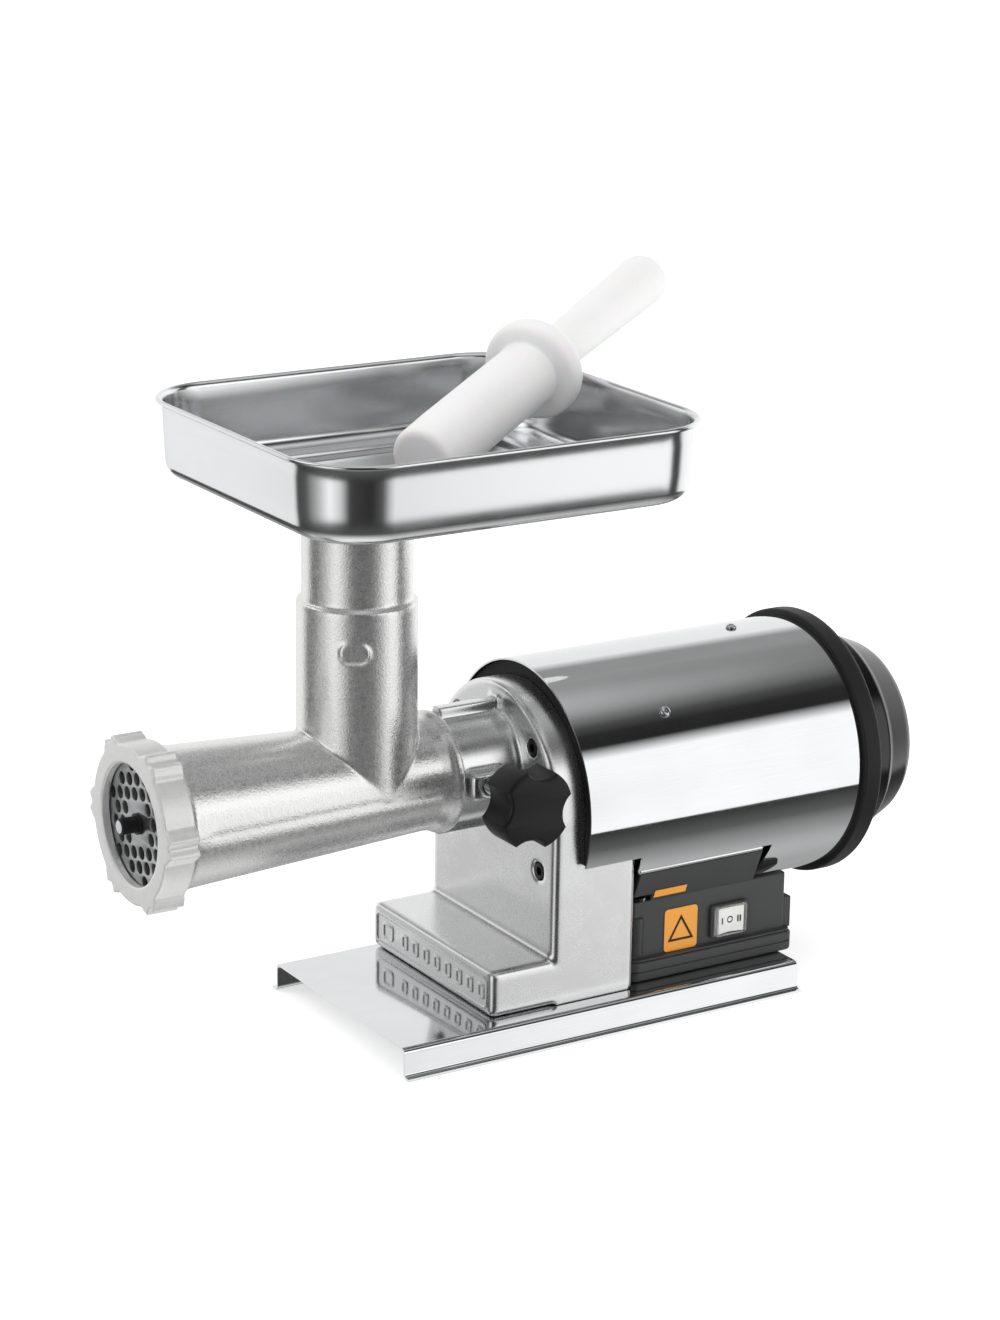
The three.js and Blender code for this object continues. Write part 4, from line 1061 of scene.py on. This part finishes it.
# ---- Motor housing ------------------------------------------------------------------------------
@dataclass
class MotorHousing:
    """Wrapped sheet cover with its band, screws, rear ring and fan cowl."""

    radius: float = 83.1
    sheet: float = 1.2
    front: float = 16
    rear: float = 221.6
    skirt: float = 107.6
    cut: float = 97
    cut_to: float = 160
    bead: float = 1.8
    bead_x: float = 71.4
    band_from: float = 18
    band_to: float = 26
    ring_r: float = 87
    ring_rear: float = 236
    ring_inner: float = 66
    cowl: float = 70
    cowl_end: float = 58.6
    cowl_rear: float = 283
    cowl_face: float = 54
    cowl_wall: float = 2.2
    screws: tuple[tuple[str, float, float], ...] = (
        ("top", 175, 90), ("right", 83.3, 43.5), ("left", 83.3, 136.5))

    def cover(self) -> Form:
        """Cover sheet with its lower window, vent and beaded edges.

        Returns:
            The cover as one form.
        """
        inner = self.radius - self.sheet
        shell = turned([(inner, self.front), (self.radius, self.front), (self.radius, self.rear),
                        (inner, self.rear)], Axis.Y, 0, MOTOR_Z, 240)
        half = (self.cut_to - CASE_REAR) / 2 + 10
        window = slab(round_rectangle(0, self.cut_to - half, 100, half, 5), Axis.Z, 0, self.cut)
        vent = slab(round_rectangle(18, 176, 14, 9, 8.5), Axis.Z, 0, 80)
        shell.cut(block(-100, 100, self.front - 1, CASE_REAR + 1, 0, self.skirt), window, vent)
        near, far = CASE_REAR + 2, self.cut_to - 6
        profile = rounded([(0, near), (self.bead, near, 1.6), (self.bead, far, 1.6), (0, far)])
        return shell.with_form(*[
            turned(profile, Axis.Y, side * self.bead_x, self.cut - 1.2, 24) for side in (-1, 1)])

    def build(self) -> None:
        """Makes every piece of the housing."""
        cover = self.cover().piece(
            "wrapped_cover", POLISHED_STAINLESS, "stand", "stainless_sheet", ["motor_cover"])
        # Painted shade: the cover's inner faces get the dark inner finish, which stands for the shade inside
        # the cover.
        cover.data.materials.append(SHADED_INNER_STAINLESS.material())
        for face in cover.data.polygons:
            out = math.hypot(face.center.x, face.center.z - MOTOR_Z * MM) / MM
            face.material_index = int(out < self.radius - self.sheet / 2 and abs(face.normal.y) < 0.5)
        band_r = self.radius - self.sheet - 0.6
        near, far = self.band_from, self.band_to
        band = turned([(60, near), (band_r, near), (band_r, far), (60, far)], Axis.Y, 0, MOTOR_Z, 180)
        band.cut(slab(arch(73.2, MOTOR_Z, 0), Axis.Y, 5, 30), block(-100, 100, 0, 40, 0, self.skirt + 0.3))
        band.soften(0.6).piece("front_band", NITRILE, "stand", "rubber", ["cover_trim_band"])
        for name, y, angle in self.screws:
            self.screw(name, y, angle)
        lip = self.radius - self.sheet - 0.3
        neck = lip - 2.5
        ring = turned(rounded([
            (neck, self.rear - 8), (lip, self.rear - 8), (lip, self.rear + 0.3),
            (self.ring_r, self.rear + 0.3, 1.6), (self.ring_r, self.ring_rear, 4.5), (77, self.ring_rear, 1),
            (76, self.ring_rear - 1.6, 1), (self.ring_inner, self.ring_rear - 1.6),
            (self.ring_inner, self.ring_rear - 4), (neck, self.ring_rear - 4), (neck, self.rear - 8),
        ])[:-1], Axis.Y, 0, MOTOR_Z, 192)
        ring.piece("rear_collar", MATT_NYLON, "stand", "black_plastic", ["rear_ring"])
        start = self.ring_rear + 0.3
        outer = [
            (self.cowl, start), (self.cowl - 0.4, start + 19, 2), (67, start + 22, 2),
            (self.cowl_end, self.cowl_rear - 4, 4), (self.cowl_face, self.cowl_rear, 4), (0, self.cowl_rear)]
        inner = [(max(r - self.cowl_wall, 0), along if along == start else along - self.cowl_wall)
                 for r, along, *_ in reversed(outer)]
        shell = turned(rounded(outer) + inner, Axis.Y, 0, MOTOR_Z, 160)
        slots = []
        for i in range(10):
            slot = slab(round_rectangle(34, 0, 16, 2.2, 2.1), Axis.Z, -7, 7)
            turn = Matrix.Rotation(FULL * i / 10, 4, "Y") @ Matrix.Rotation(math.pi / 2, 4, "X")
            slots.append(slot.moved(Matrix.Translation((0, self.cowl_rear - 2, MOTOR_Z)) @ turn))
        shell.cut(*slots).piece("slotted_cowl", GLOSS_ABS, "stand", "gloss_black_plastic", ["fan_cowl"])

    def screw(self, name: str, y: float, angle: float) -> None:
        """Makes a pan-head screw with a cross recess, standing out from the cover.

        Args:
            name: the piece's name.
            y: place along the cover in mm.
            angle: angle round the motor in degrees.
        """
        base = self.radius + 0.2
        head = turned(rounded([
            (0, base - 9), (1.9, base - 9), (1.9, base), (3.6, base, 0.3), (3.5, base + 1.3, 0.8),
            (2, base + 2), (0, base + 2)]), Axis.Z, sides=40)
        for long, wide in ((2.1, 0.4), (0.4, 2.1)):
            head.cut(block(-long, long, -wide, wide, base + 0.9, base + 3))
        head.moved(about_motor(angle, y)).piece(
            f"pan_screw_{name}", PLATED_STEEL, "stand", "steel", [f"cover_screw_{name}"])


# ---- Switch box ---------------------------------------------------------------------------------
@dataclass
class SwitchBox:
    """Moulded box under the motor with its switch and label."""

    half: float = 62
    base: float = 67
    front: float = 60
    rear: float = 185
    low: float = 19.4
    split: float = 32
    top: float = 71
    clear: float = 85.5
    switch_y: float = 135.3
    switch_z: float = 48.3
    label_y: tuple[float, float] = (86.6, 111.6)
    label_z: tuple[float, float] = (34, 62.4)
    lip_lean: float = 22
    lip_foot: float = 61.9
    lip_rear: float = 155
    lip_rise: Flat = (-3, 24)
    lip_sheet: float = 1.6
    lip_label_y: Flat = (77, 101)
    lip_label_rise: Flat = (2.5, 8)
    film: Flat = (0.3, 0.65)
    bezel: Flat = (14.25, 11)
    well: Flat = (11.7, 9.7)
    mouth: Flat = (11, 9.1)
    frame: Flat = (12.2, 10)
    frame_mouth: Flat = (9.9, 8.9)
    rocker: Flat = (9.6, 8.7)
    rocker_foot: float = 8.5
    mark: tuple[float, float, float] = (0.5, 2.2, 0.3)

    def leaning(self, side: int, low: float, high: float, under: float, over: float) -> list[Flat]:
        """Cross-section of a strip on one of the lid's leaning lips.

        Args:
            side: 1 for the right lip and -1 for the left one.
            low: Where it begins up the slope from the lid's top edge, in mm.
            high: Where it ends up the slope.
            under: Its inner face, measured outwards from the lip's outer face.
            over: Its outer face.

        Returns:
            Its corners, across and up.
        """
        lean = math.radians(self.lip_lean)
        return [(side * (self.lip_foot + along * math.sin(lean) + out * math.cos(lean)),
                 self.top + along * math.cos(lean) - out * math.sin(lean))
                for along, out in ((low, under), (low, over), (high, over), (high, under))]

    def shell(self) -> None:
        """Makes the lower half and the lid."""
        centre, half_y = (self.front + self.rear) / 2, (self.rear - self.front) / 2
        tub = slab(round_rectangle(0, centre, self.base, half_y, 6), Axis.Z, self.low, self.split, 1.6)
        groove = slab(round_rectangle(0, centre, self.base + 5, half_y + 5, 8), Axis.Z, 25.4, 26.4, 0,
                      [round_rectangle(0, centre, self.base - 0.8, half_y - 0.8, 6)])
        tub.cut(groove).piece("box_tub", GREY_POLYPROPYLENE, "stand", "grey_plastic", ["switch_box_base"])
        lid_from, lid_to = self.front + 2, self.rear - 4
        lid_middle, lid_half = (lid_from + lid_to) / 2, (lid_to - lid_from) / 2
        seat = self.split + 0.3
        hood = slab(round_rectangle(0, lid_middle, self.half, lid_half, 3), Axis.Z, seat, self.top, 1.2)
        rim = round_rectangle(0, centre, self.base - 1, half_y - 1, 6)
        ledge = slab(rim, Axis.Z, seat, self.split + 1.6, 0.4)
        clip = slab(round_rectangle(self.half - 8, lid_to + 2.5, 6, 3.5, 1), Axis.Z, seat, 53, 0.5)
        saddle = rod(Axis.Y, self.clear, self.front - 20, self.rear + 20, 0, MOTOR_Z, 160)
        opening = block(self.half - 13, self.half + 2, self.switch_y - 12, self.switch_y + 12,
                        self.switch_z - 10, self.switch_z + 10)
        lid = hood.join(ledge, clip).cut(saddle, opening)
        post = turned(rounded([(0, 36), (4.4, 36, 1), (4.4, 61, 1.5), (0, 61)]), Axis.Z, self.half - 2.2,
                      self.front + 7.2, 32)
        lips = [slab(self.leaning(side, *self.lip_rise, -self.lip_sheet, 0), Axis.Y, lid_from, self.lip_rear,
                     0.5) for side in (-1, 1)]
        lips[1].cut(block(0, self.half + 5, self.front, self.front + 16, self.top, self.top + 5))
        lid.with_form(post, *lips).piece(
            "box_lid", GREY_POLYPROPYLENE, "stand", "grey_plastic", ["switch_box_lid"])

    def switch(self) -> None:
        """Makes the bezel, the clear surround, the rocker and its marks."""
        y, z, face = self.switch_y, self.switch_z, self.half
        mouth = round_rectangle(y, z, *self.mouth, 1)
        bezel = slab(round_rectangle(y, z, *self.bezel, 2), Axis.X, face + 0.3, face + 3, 0.9, [mouth])
        well = slab(round_rectangle(y, z, *self.well, 1), Axis.X, face - 12, face + 1, 0, [mouth])
        bezel.with_form(well).piece(
            "square_bezel", GREY_POLYPROPYLENE, "stand", "black_plastic", ["switch_bezel"])
        surround = slab(round_rectangle(y, z, *self.frame, 2), Axis.X, face + 2.9, face + 4.9, 0.6,
                        [round_rectangle(y, z, *self.frame_mouth, 0.8)])
        surround.piece("clear_surround", CLEAR_SILICONE, "stand", "rocker_plastic")
        (long, high), foot = self.rocker, self.rocker_foot
        dip = [(face + 3.0 + 1.6 * abs(i / 12) ** 1.6, y + long * i / 12) for i in range(-12, 13)]
        pad = slab([(face - 5, y - foot), *dip, (face - 5, y + foot)], Axis.Z, z - high, z + high, 0.7)
        pad.piece("three_way_rocker", ROCKER_WHITE, "rocker", "rocker_plastic", ["rocker_switch"])
        marks = [slab(round_rectangle(y - 6.4, z, *self.mark), Axis.X, face + 3.4, face + 3.95),
                 slab(circle(y, z, 2.3, 32), Axis.X, face + 2.6, face + 3.15, 0, [circle(y, z, 1.5, 32)]),
                 slab(round_rectangle(y + 5.8, z, *self.mark), Axis.X, face + 3.4, face + 3.85),
                 slab(round_rectangle(y + 7.4, z, *self.mark), Axis.X, face + 3.8, face + 4.25)]
        marks[0].with_form(*marks[1:]).piece("rocker_marks", BLACK_INK, "rocker", "rocker_plastic")

    def label(self) -> None:
        """Makes the orange label with a plain triangle, and the one on the lip."""
        (y0, y1), (z0, z1) = self.label_y, self.label_z
        y, z, face = (y0 + y1) / 2, (z0 + z1) / 2, self.half + 0.3
        slab(round_rectangle(y, z, (y1 - y0) / 2, (z1 - z0) / 2, 2.5), Axis.X, face, face + 0.4).piece(
            "orange_label", ORANGE_VINYL, "stand", "label_film", ["box_label"])
        outer, inner = [[(y + r * math.cos(math.radians(a)), z - 2 + r * math.sin(math.radians(a)))
                         for a in (90, 210, 330)] for r in (11.4, 8.4)]
        slab(outer, Axis.X, face + 0.3, face + 0.55, 0, [inner]).piece(
            "label_triangle", BLACK_INK, "stand", "label_film")
        slab(self.leaning(1, *self.lip_label_rise, *self.film), Axis.Y, *self.lip_label_y).piece(
            "lip_orange_label", ORANGE_VINYL, "stand", "label_film", ["lip_label"])

    def build(self) -> None:
        """Makes the whole box."""
        self.shell()
        self.switch()
        self.label()


# ---- Studio -------------------------------------------------------------------------------------
@dataclass
class Studio:
    """Pale floor, soft light, the surroundings that reflections see, and the camera."""

    azimuth: float = 58.0
    elevation: float = 16.75
    roll: float = 0.97
    lens: float = 96.09
    sensor: float = 36
    eye: Point = (1765.33, -1113.97, 849.17)
    light_up: Flat = (0.62, 1.0)
    low_wall: float = -24.5
    rear_grey: float = 0.5
    low_boxes: tuple[Flat, ...] = (
        (-180, 1.0), (-152, 1.15), (-144, 0.8), (-140, 0.06), (-118, 0.12), (-95, 0.6), (-75, 1.35),
        (-58, 0.9), (-44, 0.06), (-8, 0.03), (10, 0.12), (26, 1.0), (34, 1.35), (54, 1.3), (60, 0.05),
        (76, 0.05), (84, 1.2), (110, 1.3), (135, 1.1), (180, 0.95))
    high_boxes: tuple[Flat, ...] = (
        (-80, 1.1), (-62, 0.75), (-50, 0.42), (-38, 0.14), (-26, 0.05), (35, 0.02), (45, 0.03), (50, 0.09),
        (54, 0.24), (58, 0.5), (63, 0.9), (70, 0.8), (85, 0.65))
    soft_edge: Flat = (28.5, 37.0)
    rear_from: Flat = (90, 125)
    floor_half: float = 6.0
    lamps: tuple[tuple[str, Point, float, float], ...] = (
        ("key", (-1.4, -1.6, 2.4), 1.6, 12), ("fill", (2.6, 0.6, 1.8), 1.8, 6))

    def floor(self) -> None:
        """Pale floor that isn't part of the object."""
        size = self.floor_half
        corners = [(-size, -size, 0), (size, -size, 0), (size, size, 0), (-size, size, 0)]
        mesh = bpy.data.meshes.new("floor")
        mesh.from_pydata(corners, [], [(0, 1, 2, 3)])
        mesh.materials.append(FLOOR_PAINT.material())
        floor = bpy.data.objects.new("floor", mesh)
        bpy.context.scene.collection.objects.link(floor)
        floor.visible_glossy = False

    def sky(self) -> None:
        """White surroundings for light, and a studio of soft boxes and dark gaps for reflections."""
        world = bpy.data.worlds.new("studio")
        bpy.context.scene.world = world
        world.use_nodes = True
        tree = world.node_tree
        tree.nodes.clear()
        way = add_node(tree, "ShaderNodeTexCoord").outputs["Generated"]
        split = add_node(tree, "ShaderNodeSeparateXYZ", {"Vector": way}).outputs
        turn = add_node(tree, "ShaderNodeMath", {0: split["Y"], 1: split["X"]},
                        operation="ARCTAN2").outputs[0]
        share = add_node(tree, "ShaderNodeMapRange", {
            "Value": turn, "From Min": -math.pi, "From Max": math.pi})
        low = self.ramp(tree, share.outputs[0], [((a + 180) / 360, grey) for a, grey in self.low_boxes])
        height = add_node(tree, "ShaderNodeMapRange", {
            "Value": split["Z"], "From Min": -1.0, "From Max": 1.0})
        high = self.ramp(tree, height.outputs[0], [
            ((math.sin(math.radians(e)) + 1) / 2, grey) for e, grey in self.high_boxes])
        rear = add_node(tree, "ShaderNodeMapRange", {
            "Value": turn, "From Min": math.radians(self.rear_from[0]),
            "From Max": math.radians(self.rear_from[1]), "To Max": 0.75}).outputs[0]
        high = add_node(tree, "ShaderNodeMix", {0: rear, 6: high, 7: (self.rear_grey,) * 3 + (1,)},
                        data_type="RGBA").outputs[2]
        edge = [math.sin(math.radians(e)) for e in self.soft_edge]
        above = add_node(tree, "ShaderNodeMapRange", {
            "Value": split["Z"], "From Min": edge[0], "From Max": edge[1]}).outputs[0]
        below = add_node(tree, "ShaderNodeMath", {0: split["Z"], 1: math.sin(math.radians(self.low_wall))},
                         operation="LESS_THAN").outputs[0]
        outside = add_node(tree, "ShaderNodeMath", {0: above, 1: below}, operation="MAXIMUM").outputs[0]
        seen = add_node(tree, "ShaderNodeMix", {0: outside, 6: low, 7: high}, data_type="RGBA").outputs[2]
        glossy = add_node(tree, "ShaderNodeLightPath").outputs["Is Glossy Ray"]
        camera = add_node(tree, "ShaderNodeLightPath").outputs["Is Camera Ray"]
        soft = add_node(tree, "ShaderNodeMapRange", {
            "Value": split["Z"], "From Min": -0.2, "From Max": 0.9,
            "To Min": self.light_up[0], "To Max": self.light_up[1]}).outputs[0]
        plain = add_node(tree, "ShaderNodeMix", {0: camera, 6: soft, 7: (1, 1, 1, 1)},
                         data_type="RGBA").outputs[2]
        colour = add_node(tree, "ShaderNodeMix", {0: glossy, 6: plain, 7: seen}, data_type="RGBA").outputs[2]
        light = add_node(tree, "ShaderNodeBackground", {"Color": colour, "Strength": 1.0})
        add_node(tree, "ShaderNodeOutputWorld", {"Surface": light.outputs[0]})

    @staticmethod
    def ramp(tree: bpy.types.NodeTree, share: bpy.types.NodeSocket,
             stops: Sequence[Flat]) -> bpy.types.NodeSocket:
        """Grey ramp through stops.

        Args:
            tree: Node tree that gets the ramp.
            share: Where to read it, from 0 to 1.
            stops: Places and greys in order.

        Returns:
            Its colour.
        """
        node = add_node(tree, "ShaderNodeValToRGB", {"Fac": share})
        for i, (where, grey) in enumerate(stops):
            stop = node.color_ramp.elements[i] if i < 2 else node.color_ramp.elements.new(where)
            stop.position, stop.color = where, (grey, grey, grey, 1)
        return node.outputs["Color"]

    def lamp(self, name: str, at: Point, size: float, power: float) -> None:
        """Soft square light that faces the middle of the object.

        Args:
            name: the lamp's name.
            at: its place in metres.
            size: side of the square in metres.
            power: its strength in watts.
        """
        data = bpy.data.lights.new(name, "AREA")
        data.size, data.energy = size, power
        lamp = bpy.data.objects.new(name, data)
        bpy.context.scene.collection.objects.link(lamp)
        place = Vector(at)
        lamp.matrix_world = Matrix.Translation(place) @ \
            (Vector((0, 0, 0.2)) - place).to_track_quat("-Z", "Y").to_matrix().to_4x4()

    def camera(self) -> None:
        """Camera at the viewing angle, without shift or blur."""
        a, e, r = (math.radians(v) for v in (self.azimuth, self.elevation, self.roll))
        back = Vector((math.sin(a) * math.cos(e), -math.cos(a) * math.cos(e), math.sin(e)))
        side = Vector((math.cos(a), math.sin(a), 0))
        up = back.cross(side)
        right = side * math.cos(r) + up * math.sin(r)
        above = up * math.cos(r) - side * math.sin(r)
        data = bpy.data.cameras.new("camera")
        data.lens, data.sensor_width, data.sensor_fit = self.lens, self.sensor, "AUTO"
        data.clip_start, data.clip_end = 0.05, 50
        camera = bpy.data.objects.new("camera", data)
        bpy.context.scene.collection.objects.link(camera)
        turn = Matrix((right, above, back)).transposed().to_4x4()
        camera.matrix_world = Matrix.Translation(Vector(self.eye) * MM) @ turn
        bpy.context.scene.camera = camera

    def build(self) -> None:
        """Sets up the whole studio."""
        self.floor()
        self.sky()
        for lamp in self.lamps:
            self.lamp(*lamp)
        self.camera()
        bpy.context.scene.view_settings.view_transform = "Standard"


def main() -> None:
    """Builds the finishes, the pieces and the studio in order."""
    logging.basicConfig(level=logging.INFO, format="%(message)s", stream=sys.stdout)
    dress_frame()
    for part in (BasePlate(), GearCase(), Clamp(), GrindingHead(), FeedTray(), Pusher(), MotorHousing(),
                 SwitchBox(), Studio()):
        LOG.info("building %s", type(part).__name__)
        part.build()


if __name__ == "__main__":
    main()
